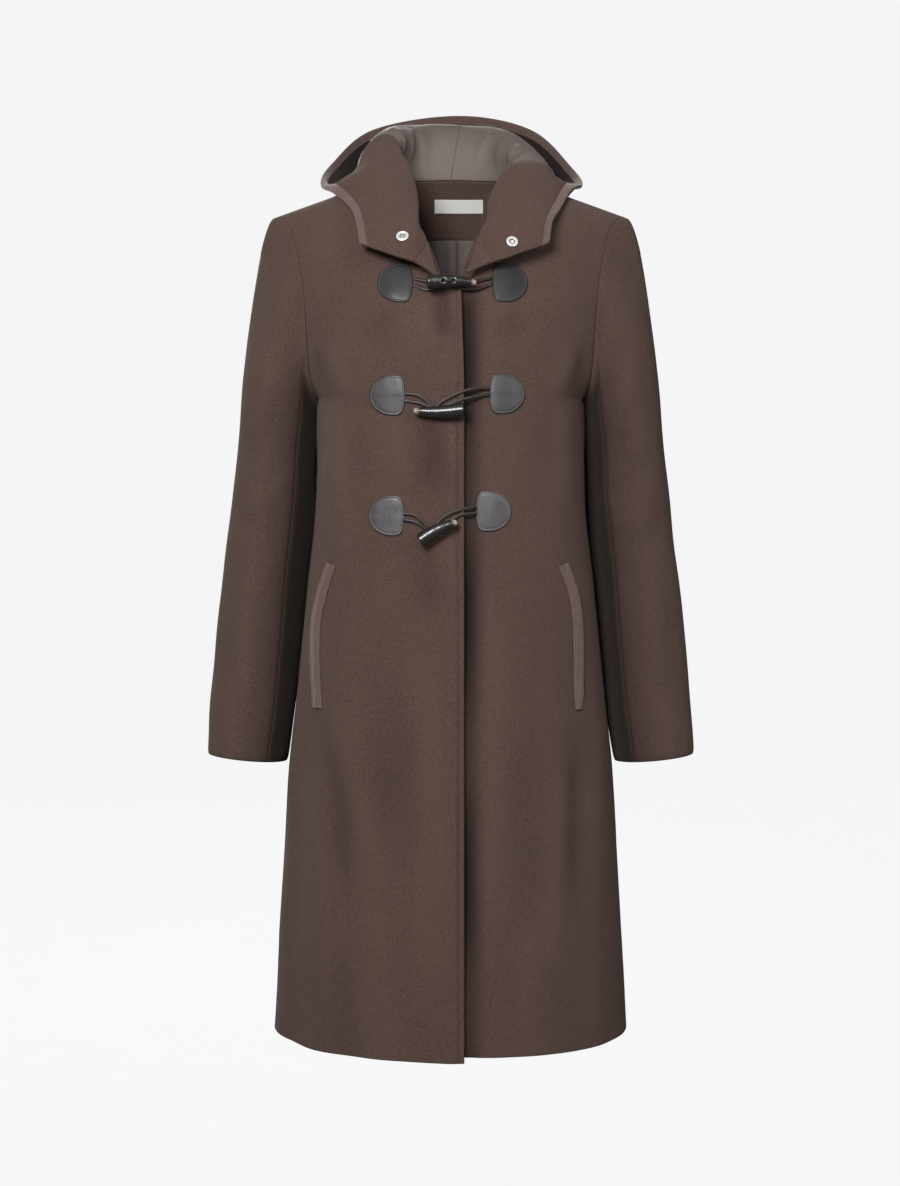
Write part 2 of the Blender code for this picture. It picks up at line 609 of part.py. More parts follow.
def clear_of_neckline(points, depth):
    """The points moved away from the raw top edge of fronts and back, that they turn over."""
    u = np.linspace(-NECKLINE_U, NECKLINE_U, 241)
    edge = [torso(face, u, 2.0) - torso_normal(face, u, 2.0) * WOOL_WALL / 2 for face in (FRONT, BACK)]
    edge = np.concatenate(edge)
    reach = WOOL_WALL * 0.6 + depth + NECKLINE_CLEARANCE
    away = points[..., None, :] - edge
    distance = np.linalg.norm(away, axis=-1)
    nearest = distance.argmin(axis=-1)[..., None]
    distance = np.take_along_axis(distance, nearest, axis=-1)
    away = np.take_along_axis(away, nearest[..., None], axis=-2)[..., 0, :]
    shift = np.maximum(reach - distance, 0)
    shift[:, 0] = 0
    return points + unit(away) * shift


def clear_of_body(points, normals, depth):
    """The points raised off shoulders and chest wherever their underside, depth below, would reach in."""
    u, t = np.meshgrid(np.linspace(-1, 1, 81), np.linspace(1.2, 2, 50))
    samples = np.concatenate([torso(face, u, t).reshape(-1, 3) for face in (FRONT, BACK)])
    ways = np.concatenate([torso_normal(face, u, t).reshape(-1, 3) for face in (FRONT, BACK)])
    in_neck = np.tile(((t > 1.98) & (np.abs(u) < NECKLINE_U)).reshape(-1), 2)
    raised = points.copy()
    for index in np.ndindex(points.shape[:2]):
        under = points[index] - normals[index] * depth
        nearest = np.argmin(((samples - under) ** 2).sum(axis=1))
        height = (under - samples[nearest]) @ ways[nearest]
        on_body = index[1] > 3 or height > -BODY_CLEARANCE * 3
        if on_body and not in_neck[nearest] and height < BODY_CLEARANCE:
            raised[index] += ways[nearest] * (BODY_CLEARANCE - height)
    return raised


def make_hood():
    """Shell, facing and lining of both halves, and the binding round the face opening."""
    points, normals = hood_grid()
    middle = HOOD_ROWS // 2
    half = SEAM_GAP / 2
    rows, columns = points.shape[0] - 1, points.shape[1] - 1
    row, column = np.indices((rows, columns))
    split = short_diagonals(points)
    bound = column == columns - 1
    faced = (column >= columns - 1 - HOOD_FACING_CELLS) | (row < HOOD_FACED_ROWS[RIGHT])
    faced |= row >= rows - HOOD_FACED_ROWS[LEFT]
    for side, half_rows in ((RIGHT, row < middle), (LEFT, row >= middle)):
        name = SIDE_NAMES[side]
        sheet(f"hood_{name}", points - normals * half, normals, WOOL_WALL, "wool", half_rows & ~bound, split)
        top = points + normals * (half + LINING_WALL)
        sheet(f"hood_facing_{name}", top, normals, LINING_WALL, "wool", half_rows & faced & ~bound, split)
        sheet(f"hood_lining_{name}", top, normals, LINING_WALL, "satin", half_rows & ~faced, split)
    top = half + LINING_WALL + BINDING_PROUD
    wall = top + half + WOOL_WALL + BINDING_PROUD
    sheet("hood_binding", points + normals * top, normals, wall, "suede", bound, split)


def locate(surface, x, z):
    """u and t at which a face of the body reaches x and z, by Newton's method."""
    x, z = np.broadcast_arrays(np.asarray(x, float), np.asarray(z, float))
    u, t = x / 0.21, np.where(z < CHEST_Z, (z - HEM_Z) / (CHEST_Z - HEM_Z), 1 + (z - CHEST_Z) / 0.27)
    step = 1e-4
    for _ in range(14):
        here = surface(u, t)
        by_u, by_t = (surface(u + step, t) - here) / step, (surface(u, t + step) - here) / step
        miss_x, miss_z = x - here[..., 0], z - here[..., 2]
        area = by_u[..., 0] * by_t[..., 2] - by_u[..., 2] * by_t[..., 0]
        u = u + np.clip((miss_x * by_t[..., 2] - miss_z * by_t[..., 0]) / area, -0.1, 0.1)
        t = t + np.clip((miss_z * by_u[..., 0] - miss_x * by_u[..., 2]) / area, -0.1, 0.1)
    return u, t


def on_front(side, x, z, height=0.0):
    """Points over one front at x and z, raised off the cloth by height, and the cloth's direction there.

    With no side they lie over the lap, as if neither front sank.
    """
    def surface(u, t):
        return torso(FRONT, u, t) if side is None else front_point(side, u, t)

    u, t = locate(surface, x, z)
    normal = torso_normal(FRONT, u, t)
    return surface(u, t) + normal * np.asarray(height)[..., None], normal


def make_front_facings():
    """The turned-back corner of each front, from the lap up to the seam with the hood."""
    points, normals = hood_grid()
    for side, rows in ((RIGHT, [0, 1, 2]), (LEFT, [-1, -2, -3])):
        seam = points[rows, 0]
        low_u, high_u = ROLL_U
        u = np.linspace(low_u, high_u, 5) * side
        roll = torso(FRONT, u, 2.0) + (seam[-1] - torso(FRONT, high_u * side, 2.0))
        start = roll[0]
        share = np.linspace(0, 1, 5)[:, None]
        outer_edge = start + (seam[0] - start) * share
        middle = (roll + outer_edge) / 2 + (seam[1] - (seam[0] + seam[2]) / 2) * share
        outer_edge[0] += (seam[0] - seam[2]) * 0.08
        middle[0] = (roll[0] + outer_edge[0]) / 2
        grid = np.stack([outer_edge, middle, roll], axis=1)
        way = unit(np.cross(np.gradient(grid, axis=0), np.gradient(grid, axis=1))) * side
        way *= np.sign(-way[..., 1:2])
        way[-1] = normals[rows, 0]
        depth = SEAM_GAP / 2 + WOOL_WALL
        grid = clear_of_body(grid, way, depth)
        top = SEAM_GAP / 2 + LINING_WALL
        sheet(f"front_facing_{SIDE_NAMES[side]}", grid + way * top, way, top + depth, "wool")


def make_welts():
    for side, line in WELTS.items():
        line = np.array(line, float) * MM
        middle = interpolate(np.arange(len(line)), line, np.linspace(0, len(line) - 1, 9), curve_slopes)
        way = unit(np.gradient(middle, axis=0))
        across = np.stack([way[:, 1], -way[:, 0]], axis=-1) * WELT_WIDTH / 2
        edges = np.stack([middle - across, middle + across], axis=1)
        height = np.full(edges.shape[:2], SEWN_ON_GAP + WELT_WALL)
        points, normal = on_front(side, edges[..., 0], edges[..., 1], height)
        sheet(f"pocket_welt_{SIDE_NAMES[side]}", points, normal, WELT_WALL, "suede")


def plate(name, outline, place, wall, finish):
    """A flat piece with the given outline. place turns outline points and heights into points in space."""
    centre = outline.mean(axis=0)
    rings = [centre + (outline - centre) * share for share in (1.0, 0.55)]
    shape = bmesh.new()
    faces = []
    for height in (0.0, wall):
        loops = [[shape.verts.new(point) for point in place(ring, height)] for ring in rings]
        middle = shape.verts.new(place(centre[None, :], height)[0])
        faces.append((loops, middle))
    count = len(outline)
    for k in range(count):
        m = (k + 1) % count
        for loops, middle in faces:
            shape.faces.new((loops[0][k], loops[0][m], loops[1][m]))
            shape.faces.new((loops[0][k], loops[1][m], loops[1][k]))
            shape.faces.new((loops[1][k], loops[1][m], middle))
        shape.faces.new((faces[0][0][0][k], faces[0][0][0][m], faces[1][0][0][m], faces[1][0][0][k]))
    return finished(name, shape, finish)


def patch_outline(side):
    """A D: nearly straight towards the front edge, round on the other side. Its flat side lies at x = 0."""
    turn = np.linspace(0, 2 * math.pi, PLATE_SIDES, endpoint=False) + math.pi / PLATE_SIDES
    round_part, flat_part = 0.62 * PATCH_WIDTH, 0.38 * PATCH_WIDTH
    along = np.cos(turn)
    x = np.where(along < 0, round_part * along, flat_part * np.abs(along) ** 0.4) - flat_part
    return np.stack([x * -side, np.sin(turn) * PATCH_HEIGHT / 2], axis=-1)


def make_fastenings():
    for name, fastening in FASTENINGS.items():
        for side, (edge_x, middle_z) in fastening["patches"].items():
            corner = np.array([edge_x, middle_z]) * MM

            def over_front(points, height, side=side, corner=corner):
                x, z = (points + corner).T
                return on_front(side, x, z, np.full(len(x), SEWN_ON_GAP + height))[0]

            plate(f"patch_{name}_{SIDE_NAMES[side]}", patch_outline(side), over_front, PATCH_WALL, "leather")
        toggle(f"toggle_{name}", *fastening["toggle"])
        for strand in ("cord", "loop"):
            tube(f"{strand}_{name}", fastening[strand])


def over_lap(points):
    x, z, height = np.moveaxis(np.array(points, float) * MM, -1, 0)
    return on_front(None, x, z, height)[0]


def tube(name, route):
    """A round cord along a route over the fronts."""
    path = over_lap(route)
    knots = np.concatenate([[0], np.cumsum(np.linalg.norm(np.diff(path, axis=0), axis=1) ** 0.5)])
    smooth = interpolate(knots, path, np.linspace(0, knots[-1], CORD_POINTS), curve_slopes)
    curve = bpy.data.curves.new(name, "CURVE")
    curve.dimensions = "3D"
    curve.bevel_depth = CORD_RADIUS
    curve.bevel_resolution = 1
    curve.use_fill_caps = True
    spline = curve.splines.new("POLY")
    spline.points.add(len(smooth) - 1)
    for point, place in zip(spline.points, smooth):
        point.co = (*place, 1)
    curve.materials.append(material("leather"))
    bpy.context.scene.collection.objects.link(bpy.data.objects.new(name, curve))


def toggle(name, thick_end, thin_end):
    """A horn toggle: cut flat at its thick end, tapering in a slight curve to a blunt tip."""
    start, stop = over_lap([thick_end, thin_end])
    axis = unit(stop - start)
    side_way = unit(np.cross(axis, [0.0, 1.0, 0.0]))
    up_way = np.cross(side_way, axis)
    share, radius = np.array(TOGGLE_PROFILE).T
    shape = bmesh.new()
    loops = []
    for along, size in zip(share, radius * MM):
        centre = start + (stop - start) * along + side_way * TOGGLE_BEND * math.sin(math.pi * along)
        turn = np.linspace(0, 2 * math.pi, TOGGLE_SIDES, endpoint=False)[:, None]
        ring = centre + size * (np.cos(turn) * side_way + np.sin(turn) * up_way)
        loops.append([shape.verts.new(point) for point in ring])
    for one, other in zip(loops, loops[1:]):
        for k in range(len(one)):
            m = (k + 1) % len(one)
            shape.faces.new((one[k], one[m], other[m], other[k]))
    shape.faces.new(loops[0])
    shape.faces.new(loops[-1])
    return finished(name, shape, "horn")


def make_snaps():
    """The two halves of the press stud on the hood's facing."""
    points, normals = hood_grid()
    turn = np.linspace(0, 2 * math.pi, 12, endpoint=False)
    circle = np.stack([np.cos(turn), np.sin(turn)], axis=-1) * SNAP_RADIUS
    share = np.linspace(0, 1, 9)
    for side, place in SNAPS.items():
        near = slice(0, 6) if side == RIGHT else slice(-6, None)
        spots = refined(refined(points[near], share), share, 1)
        ways = unit(refined(refined(normals[near], share), share, 1))
        miss = np.hypot(spots[..., 0] - place[0] * MM, spots[..., 2] - place[1] * MM)
        found = np.unravel_index(np.argmin(miss + (ways[..., 1] > -0.2)), miss.shape)
        centre, normal = spots[found], ways[found]
        across = unit(np.cross(normal, [0.0, 0.0, 1.0]))
        upward = np.cross(across, normal)
        base = SEAM_GAP / 2 + LINING_WALL + SEWN_ON_GAP

        def over_facing(flat, height, centre=centre, normal=normal, across=across, upward=upward):
            return centre + flat[:, :1] * across + flat[:, 1:] * upward + normal * (base + height)

        plate(f"snap_{SIDE_NAMES[side]}", circle, over_facing, SNAP_HEIGHT, "steel")


def refined(grid, share, axis=0):
    """The grid with further points between its rows (axis 0) or its columns (axis 1)."""
    grid = np.moveaxis(grid, axis, 0)
    between = [low + (high - low) * part for low, high in zip(grid, grid[1:]) for part in share[:-1]]
    return np.moveaxis(np.array(between + [grid[-1]]), 0, axis)


def main():
    for obj in list(bpy.data.objects):
        bpy.data.objects.remove(obj, do_unlink=True)
    make_fronts()
    make_back()
    make_sleeves()
    make_hood()
    make_front_facings()
    make_welts()
    make_fastenings()
    make_snaps()


if __name__ == "__main__":
    main()
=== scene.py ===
"""Duffle coat: cloth, trims, stitching and a plain studio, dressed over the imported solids.

Metres, +Z up, front towards -Y. Sides are the wearer's: the wearer's right is at -X.
Tables are in millimetres.
"""

import functools
import math

import bmesh
import bpy
import numpy as np
from bpy.props import FloatProperty, FloatVectorProperty, PointerProperty
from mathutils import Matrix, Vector


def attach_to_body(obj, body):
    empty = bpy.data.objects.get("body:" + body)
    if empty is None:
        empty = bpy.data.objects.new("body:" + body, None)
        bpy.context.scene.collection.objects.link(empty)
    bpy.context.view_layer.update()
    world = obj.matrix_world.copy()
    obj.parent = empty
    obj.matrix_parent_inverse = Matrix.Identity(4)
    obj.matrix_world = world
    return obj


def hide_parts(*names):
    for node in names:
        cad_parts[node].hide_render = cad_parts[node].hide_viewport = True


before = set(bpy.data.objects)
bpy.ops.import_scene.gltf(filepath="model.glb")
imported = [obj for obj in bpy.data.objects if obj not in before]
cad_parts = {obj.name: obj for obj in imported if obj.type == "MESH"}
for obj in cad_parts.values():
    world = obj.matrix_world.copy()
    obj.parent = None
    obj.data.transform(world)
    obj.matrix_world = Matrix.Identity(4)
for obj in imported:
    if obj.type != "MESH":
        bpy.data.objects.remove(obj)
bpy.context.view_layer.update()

bl_info = {
    "name": "Duffle Coat",
    "version": (1, 0, 0),
    "blender": (4, 5, 0),
    "location": "3D Viewport > Sidebar > Coat",
    "description": "Makes the cloth, trims and stitching of a hooded duffle coat",
    "category": "Object",
}

MM = 0.001
FRONT, BACK = -1, 1
RIGHT, LEFT = -1, 1
SIDE_NAMES = {RIGHT: "right", LEFT: "left"}
BODY = "root"

# Sizes shared with the solids
WOOL_WALL, LINING_WALL, FACING_WALL = 2.2 * MM, 1.2 * MM, 1.5 * MM
SEAM_GAP, SEWN_ON_GAP = 0.3 * MM, 0.6 * MM
HEM_Z, CHEST_Z = -0.972, -0.250
LAP_RIGHT_X, LAP_LEFT_X, LAP_DEPTH, LAP_BLEND, LAP_HEM_DIP = 0.015, -0.040, 0.0065, 0.050, 0.006
ARMHOLE_INSET = {FRONT: 0.20, BACK: 0.17}
ARMHOLE_LOW_ROUND, ARMHOLE_HIGH_ROUND = 0.55, 1.10
CAP_FULLNESS, CAP_LANDING = 0.28, 0.9
SLEEVE_SEAM_FRONT, SLEEVE_SEAM_BACK = 0.365, 0.70
BINDING_WIDTH, BINDING_PROUD = 10 * MM, 0.5 * MM
HOOD_ROWS = 29
HOOD_STOPS = ((0.5, 1.0), (0.25, 0.5, 0.75, 1.0), (0.33, 0.66, 0.92, 1.0), (0.06, 0.36, 0.70, 1.0))
THROATS = {RIGHT: 0, LEFT: HOOD_ROWS - 1}
STRIP, BOUND = 13, 14
BODY_CLEARANCE, NECKLINE_CLEARANCE, CLEARING_ROUNDS = 0.8 * MM, 2.2 * MM, 3
NECK_SEAM_RISE, NECKLINE_U = 2.6 * MM, 0.46
SIDE_NECK_U = 0.43
ROLL_U = (0.07, 0.15)
PATCH_WIDTH, PATCH_HEIGHT, PATCH_WALL = 39 * MM, 44 * MM, 1.8 * MM
TOGGLE_BEND = 2.0 * MM
WELT_WIDTH, WELT_WALL, WELT_LENGTH = 11 * MM, 2.4 * MM, 0.165
LABEL_WIDTH, LABEL_HEIGHT, LABEL_WALL = 58 * MM, 16 * MM, 0.6 * MM
BACK_FACING_LOW_Z, BACK_LINING_LOW_Z = -0.0585, -0.250
LABEL_X, LABEL_Z = 0.010, -0.020
SNAPS = {RIGHT: (-53, -73.5), LEFT: (67.5, -80)}

# How the cloth is drawn, turned in at its edges and sewn
EDGE_LINES = (0.0, 0.25, 0.6, 1.0)
CELL_CORNERS = ((0, 0), (0, 1), (1, 0), (1, 1))
TURN_IN, SEAM_PULL, TOP_REACH = 1.6 * MM, 0.03 * MM, 1.9 * MM
FINE = 8
BISECT_ROUNDS = 40
SEWN_LINING = SEAM_GAP / 2 + LINING_WALL
STITCH_HEIGHT, STITCH_SHARE = 0.25 * MM, 0.78
FRONT_STITCH, WELT_STITCH, BINDING_STITCH = 7.0 * MM, 3.4 * MM, 0.22
# Rows of a sleeve's head: the ones hidden past the armhole, onward and down, and how far the next ones sink
TUCKED_ROWS = ((3.6, 3.0), (2.0, 2.9), (0.9, 2.1))
ROLLED_ROWS = (1.15, 0.55, 0.18)
# The soft bump beside the underarm
BODY_UNDERARM_Z, SLEEVE_UNDERARM_Z, UNDERARM_PUFF = -0.2485, -0.2470, 2.2 * MM
# Creases that end below this run out over the hem
OPEN_HEM = 940
SLEEVE_ROUND, SHOULDER_TIP_DOWN = 350, 42
CREASE_SHIFT = {RIGHT: (14, 22), LEFT: (0, 0)}
FOLD_GROWTH, CHEST_FLARE, CHEST_RISE = 0.16, 0.13, 1.05

# The studio, in metres
SENSOR_HEIGHT = 36.0
CAMERA_DISTANCE, CAMERA_X, CAMERA_Z = 3.0, -0.00069, -0.3415
VIEW_HEIGHT, LOOK_DOWN = 1.3639, 0.12995
FLAT_RADIUS, COVE = 2.4, 3.6

# Body rings from hem to chest: half width, depth in front and behind, squareness, where the side seam lies
RINGS = (
    # z,   width, front, back, square, middle_y
    (-972, 203.0, 181, 163, 2.20, 0),
    (-870, 197.5, 174, 156, 2.25, 0),
    (-757, 191.0, 160, 153, 2.30, -4),
    (-664, 185.0, 147, 150, 2.35, -8),
    (-570, 174.5, 133, 143, 2.40, -12),
    (-457, 163.0, 122, 135, 2.40, -15),
    (-365, 153.0, 118, 130, 2.45, -15),
    (-250, 150.0, 118, 129, 2.45, -12),
)
FRONT_TOP = (
    # u,    x,    y,    z,   run_x, run_y, run_z
    (0.00, 0.0, -109.0, -124.0, 0, 20, 125),
    (0.08, 12.0, -107.0, -121.0, 0, 25, 130),
    (0.15, 26.0, -86.0, -80.0, 0, 60, 150),
    (0.25, 50.0, -58.0, -46.0, 5, 110, 130),
    (0.36, 73.0, -22.0, -12.0, 8, 165, 80),
    (0.43, 82.0, 0.0, 0.0, 5, 190, 0),
    (0.70, 139.0, 0.0, -20.0, 0, 190, 0),
    (1.00, 202.0, 0.0, -42.5, 0, 140, 0),
)
BACK_TOP = (
    # u,    x,    y,    z,   run_x, run_y, run_z
    (0.00, 0.0, 70.0, 6.5, 0, -50, 90),
    (0.18, 36.0, 66.0, 5.5, 0, -70, 90),
    (0.29, 64.0, 48.0, 3.0, 3, -110, 80),
    (0.37, 77.0, 24.0, 1.5, 5, -160, 55),
    (0.43, 82.0, 0.0, 0.0, 5, -190, 0),
    (0.70, 139.0, 0.0, -20.0, 0, -190, 0),
    (1.00, 202.0, 0.0, -42.5, 0, -140, 0),
)
FOLDS = (
    # face, u,    half, top_z, depth
    (FRONT, -0.70, 0.10, -560, -4.0),
    (FRONT, -0.52, 0.12, -480, 3.0),
    (FRONT, 0.66, 0.10, -520, -3.5),
    (FRONT, 0.46, 0.12, -560, 2.5),
    (BACK, -0.50, 0.14, -420, -5.0),
    (BACK, 0.45, 0.14, -450, -5.0),
    (BACK, 0.00, 0.16, -520, 3.0),
)
SLEEVE_RINGS = (
    # outer_x, outer_z, inner_x, inner_z, half_depth, centre_y
    (240.0, -235, 152.0, -288, 65.0, 14),
    (247.5, -310, 151.0, -340, 63.0, 16),
    (255.0, -380, 155.5, -400, 61.0, 14),
    (263.0, -455, 163.5, -468, 58.5, 9),
    (270.0, -523, 170.5, -534, 56.5, 3),
    (275.5, -590, 178.5, -600, 54.0, -5),
    (279.5, -654, 187.0, -663, 52.0, -14),
)
HOOD_SECTIONS = (
    # neck,           roll,            crest,            pouch,            rim
    ((-40, -114, -101), (-55, -116, -97), (-70, -112, -92), (-86, -104, -86), (-100, -96, -79)),
    ((-27.5, -87, -74.5), (-42, -99, -69), (-66, -96, -64), (-86, -88, -58), (-105, -76, -52)),
    ((FRONT, -0.25), (-37, -52, -32), (-62, -66, -27), (-88, -63, -28), (-114, -50, -33)),
    ((FRONT, -0.36), (-46, -12, 12), (-78, -24, 17), (-108, -22, 5), (-134, -12, -14)),
    ((BACK, -0.38), (-60, 12, 38), (-92, 12, 40), (-122, 30, -6), (-150, 42, 2)),
    ((BACK, -0.30), (-54, 36, 52), (-76, 44, 62), (-106, 70, -34), (-140, 100, 31)),
    ((BACK, -0.18), (-36, 74, 58), (-48, 106, 75), (-66, 122, -82), (-92, 138, 76)),
    ((BACK, 0.0), (8, 82, 56), (12, 118, 77), (10, 134, -118), (10, 158, 95)),
    ((BACK, 0.18), (44, 74, 52), (60, 106, 71), (72, 122, -82), (96, 140, 76)),
    ((BACK, 0.30), (68, 42, 38), (93, 54, 45), (114, 72, -34), (144, 104, 26)),
    ((BACK, 0.38), (74, 10, 20), (108, 10, 19), (126, 28, -7), (152, 42, 1)),
    ((FRONT, 0.36), (62, -22, 10), (90, -28, 15), (113, -24, 3), (137, -13, -12)),
    ((FRONT, 0.25), (43, -54, -32), (69, -70, -29), (96, -67, -34), (122, -54, -38)),
    ((33, -86, -69), (52, -100, -68), (74, -98, -66), (94, -89, -60), (113, -77, -54)),
    ((48, -114, -101), (63, -116, -97), (79, -112, -91), (95, -104, -85), (109, -96, -78)),
)
# Where the seam between hood facing and lining crosses each grid line of the hood, in rows from the
# right throat
FACING_SEAM = (
    # column, right_row, left_row
    (0, 7.0, 21.8),
    (1, 7.8, 21.3),
    (2, 8.6, 20.8),
    (3, 9.1, 20.3),
    (4, 9.3, 20.2),
    (5, 9.1, 20.3),
    (6, 8.5, 20.5),
    (7, 7.6, 20.6),
    (8, 7.1, 20.9),
    (10, 6.9, 21.2),
    (14, 6.8, 21.8),
)
FASTENINGS = {
    "top": {
        "patches": {RIGHT: (-42, -123.5), LEFT: (46, -123.5)},
        "toggle": ((-24, -130, 17.7), (27, -129, 13.7)),
        "cord": ((-40.5, -119, 2.6), (-25, -123, 3), (-6, -128.5, 3), (-25, -132, 3), (-40.5, -126, 2.6)),
        "loop": (
            (44.5, -118.5, 2.6), (26, -122.5, 3.3), (3, -128, 3.4), (26, -131.5, 3.3), (44.5, -125, 2.6),
        ),
    },
    "middle": {
        "patches": {RIGHT: (-50, -248.5), LEFT: (42.5, -247)},
        "toggle": ((14.5, -265, 11.5), (-39.5, -266, 9.6)),
        "cord": (
            (-48.5, -246.5, 2.4), (-34, -249.5, 2.4), (-21, -262, 2.4), (-35, -257, 2.4),
            (-48.5, -254.5, 2.4),
        ),
        "loop": (
            (41, -241, 2.4), (24, -241.5, 2.4), (3, -249, 2.4), (-11, -257, 2.4), (-15, -261.5, 2.4),
            (-9, -262, 2.4), (4, -256.5, 2.4), (22, -251, 2.4), (41, -247.5, 2.4),
        ),
    },
    "low": {
        "patches": {RIGHT: (-51, -381), LEFT: (27.5, -376)},
        "toggle": ((-33, -409, 11.6), (7, -387.5, 11.6)),
        "cord": (
            (-49.5, -378.5, 2.4), (-38, -381, 2.4), (-23, -399, 2.4), (-37, -388.5, 2.4),
            (-49.5, -385.5, 2.4),
        ),
        "loop": (
            (26, -371, 2.4), (13, -373.5, 2.4), (-5, -381, 2.4), (-14, -389, 2.4), (-15, -394, 2.4),
            (-9, -393, 2.4), (-2, -388, 2.4), (10, -380.5, 2.4), (26, -377.5, 2.4),
        ),
    },
}
WELTS = {
    RIGHT: ((-132, -436), (-141, -463), (-149, -498), (-151, -540), (-148, -596)),
    LEFT: ((125, -436), (135, -464), (140, -492), (142, -535), (142, -597)),
}
PATCH_PROFILE = (
    # share of the outline, share of the wall
    (1.0, 0.05), (1.0, 0.55), (0.988, 0.82), (0.965, 0.95), (0.93, 0.97), (0.905, 0.93), (0.885, 0.86),
    (0.865, 0.93), (0.84, 1.0), (0.78, 1.05), (0.66, 1.12), (0.5, 1.18), (0.33, 1.22), (0.16, 1.24),
)
# How much each pair of patches is darkened by painted shade, below 0, or lightened by painted light, above 0;
# below 0 they are also duller
PATCH_PAINTED_LIGHT_AND_DULLING = {"top": -0.8, "middle": -0.3, "low": 0.7}
TOGGLE_SHAPE = (
    # along, radius, flatness
    (0.0, 6.2, 1.0), (0.004, 6.9, 1.0), (0.015, 7.4, 1.0), (0.05, 7.8, 0.97), (0.15, 7.9, 0.94),
    (0.3, 7.6, 0.92), (0.45, 7.1, 0.92), (0.6, 6.3, 0.92), (0.75, 5.4, 0.94), (0.86, 4.6, 0.96),
    (0.93, 3.8, 1.0), (0.97, 3.0, 1.0), (0.99, 2.1, 1.0), (1.0, 1.0, 1.0),
)
TOGGLE_HOLES = (0.32, 0.52)
SNAP_PROFILES = {
    # radius and height, from the rim to the middle
    RIGHT: (
        (7.0, 0.0), (7.0, 0.7), (6.6, 1.1), (6.0, 1.25), (5.2, 1.3), (4.7, 1.0), (4.4, 0.6), (3.9, 0.5),
        (3.3, 0.6), (2.9, 1.5), (2.4, 2.2), (1.6, 2.5), (0.8, 2.6),
    ),
    LEFT: (
        (6.6, 0.0), (6.6, 0.8), (6.2, 1.3), (5.6, 1.5), (4.9, 1.5), (4.2, 1.35), (3.4, 1.3), (2.8, 1.1),
        (2.4, 0.6), (2.2, 0.1), (1.8, -0.1), (1.2, -0.1), (0.6, -0.1),
    ),
}
# Rings in the middle of each half of the press stud that carry painted shade, and how dark
SNAP_PAINTED_SHADE = {RIGHT: (5, -0.7), LEFT: (6, -1.0)}

# Soft creases of the fronts, each from one end to the other. Positive depths are ridges
FRONT_CREASES = (
    # x0,   z0,    x1,   z1,  bend, width, depth
    (-14, -120, -8, -196, -3, 11, -4.0),
    (0, -134, 6, -178, 2, 5, 1.2),
    (-36, -136, -22, -205, -4, 11, 1.5),
    (-28, -262, -22, -372, -5, 17, -3.0),
    (2, -272, 2, -350, 1, 6, 1.2),
    (-62, -262, -54, -352, 4, 14, 1.5),
    (-34, -405, -26, -505, -4, 15, -2.0),
    (2, -400, 6, -490, 1, 7, 1.0),
    (-150, -186, -124, -266, 6, 10, -2.2),
    (-132, -186, -108, -262, 6, 13, 1.5),
    (-126, -236, -122, -420, 5, 12, 2.6),
    (152, -186, 126, -266, -6, 10, -2.0),
    (132, -186, 112, -258, -5, 13, 1.3),
    (124, -236, 122, -400, -4, 12, 2.0),
    (-150, -590, -112, -850, -10, 12, -2.6),
    (-166, -640, -150, -930, -6, 14, 2.6),
    (-108, -640, -92, -870, -6, 20, 1.6),
    (-62, -520, -58, -800, 5, 30, -1.7),
    (-26, -520, -22, -930, -3, 17, 1.8),
    (-82, -800, -78, -972, 4, 18, 1.6),
    (-116, -850, -112, -972, 3, 14, -1.3),
    (52, -470, 46, -900, 5, 17, 2.0),
    (84, -520, 78, -860, -5, 24, -1.2),
    (143, -606, 138, -870, 4, 11, -2.4),
    (122, -640, 112, -930, -4, 17, 1.7),
    (164, -620, 166, -950, 3, 13, 2.6),
    (92, -820, 90, -972, 4, 16, 1.4),
    (60, -150, 84, -190, 4, 18, -1.4),
    (-66, -150, -92, -200, 4, 18, -1.4),
)
BACK_CREASES = (
    # x0,   z0,    x1,   z1,  bend, width, depth
    (-136, -190, -118, -310, -7, 13, 2.8),
    (134, -185, 120, -300, 6, 13, 2.6),
    (-60, -190, -30, -330, 6, 22, -1.6),
    (54, -200, 22, -350, -6, 22, -1.6),
    (-92, -470, -104, -800, 6, 18, 2.2),
    (-50, -520, -58, -960, -5, 20, -2.4),
    (0, -560, 4, -950, 4, 22, 1.6),
    (52, -500, 62, -900, 5, 20, -2.2),
    (98, -460, 110, -820, -6, 18, 2.4),
    (-148, -560, -152, -900, 4, 14, -2.0),
    (146, -600, 154, -930, -4, 14, -2.0),
    (24, -700, 30, -972, 2, 14, 1.4),
    (-120, -760, -124, -970, 3, 13, 1.8),
    (126, -780, 128, -970, -3, 13, 1.8),
    (-40, -95, 30, -120, -6, 14, -1.0),
)
# Soft creases of the left sleeve: share of the way round (0 outermost, a quarter in front) and length
# from the shoulder tip in mm
SLEEVE_CREASES = (
    # turn0, down0, turn1, down1, bend, width, depth
    (0.24, 60, 0.30, 175, 6, 12, -1.8),
    (0.17, 150, 0.33, 235, -8, 13, 2.0),
    (0.29, 235, 0.12, 300, 8, 14, -2.0),
    (0.36, 300, 0.18, 360, 8, 13, 2.0),
    (0.10, 330, 0.30, 385, -8, 14, -1.8),
    (0.31, 400, 0.20, 470, 6, 14, 1.5),
    (0.12, 430, 0.16, 560, 5, 16, -1.6),
    (0.26, 470, 0.28, 600, -4, 14, 1.4),
    (0.02, 200, 0.04, 420, 8, 18, -1.4),
    (-0.10, 180, -0.20, 280, 8, 16, -1.8),
    (-0.26, 240, -0.08, 330, -8, 15, 2.0),
    (-0.24, 350, -0.10, 420, 8, 15, -1.8),
    (-0.14, 430, -0.18, 580, 5, 17, 1.5),
    (0.52, 250, 0.46, 360, 6, 13, -1.6),
    (0.58, 330, 0.44, 420, -6, 13, 1.6),
)
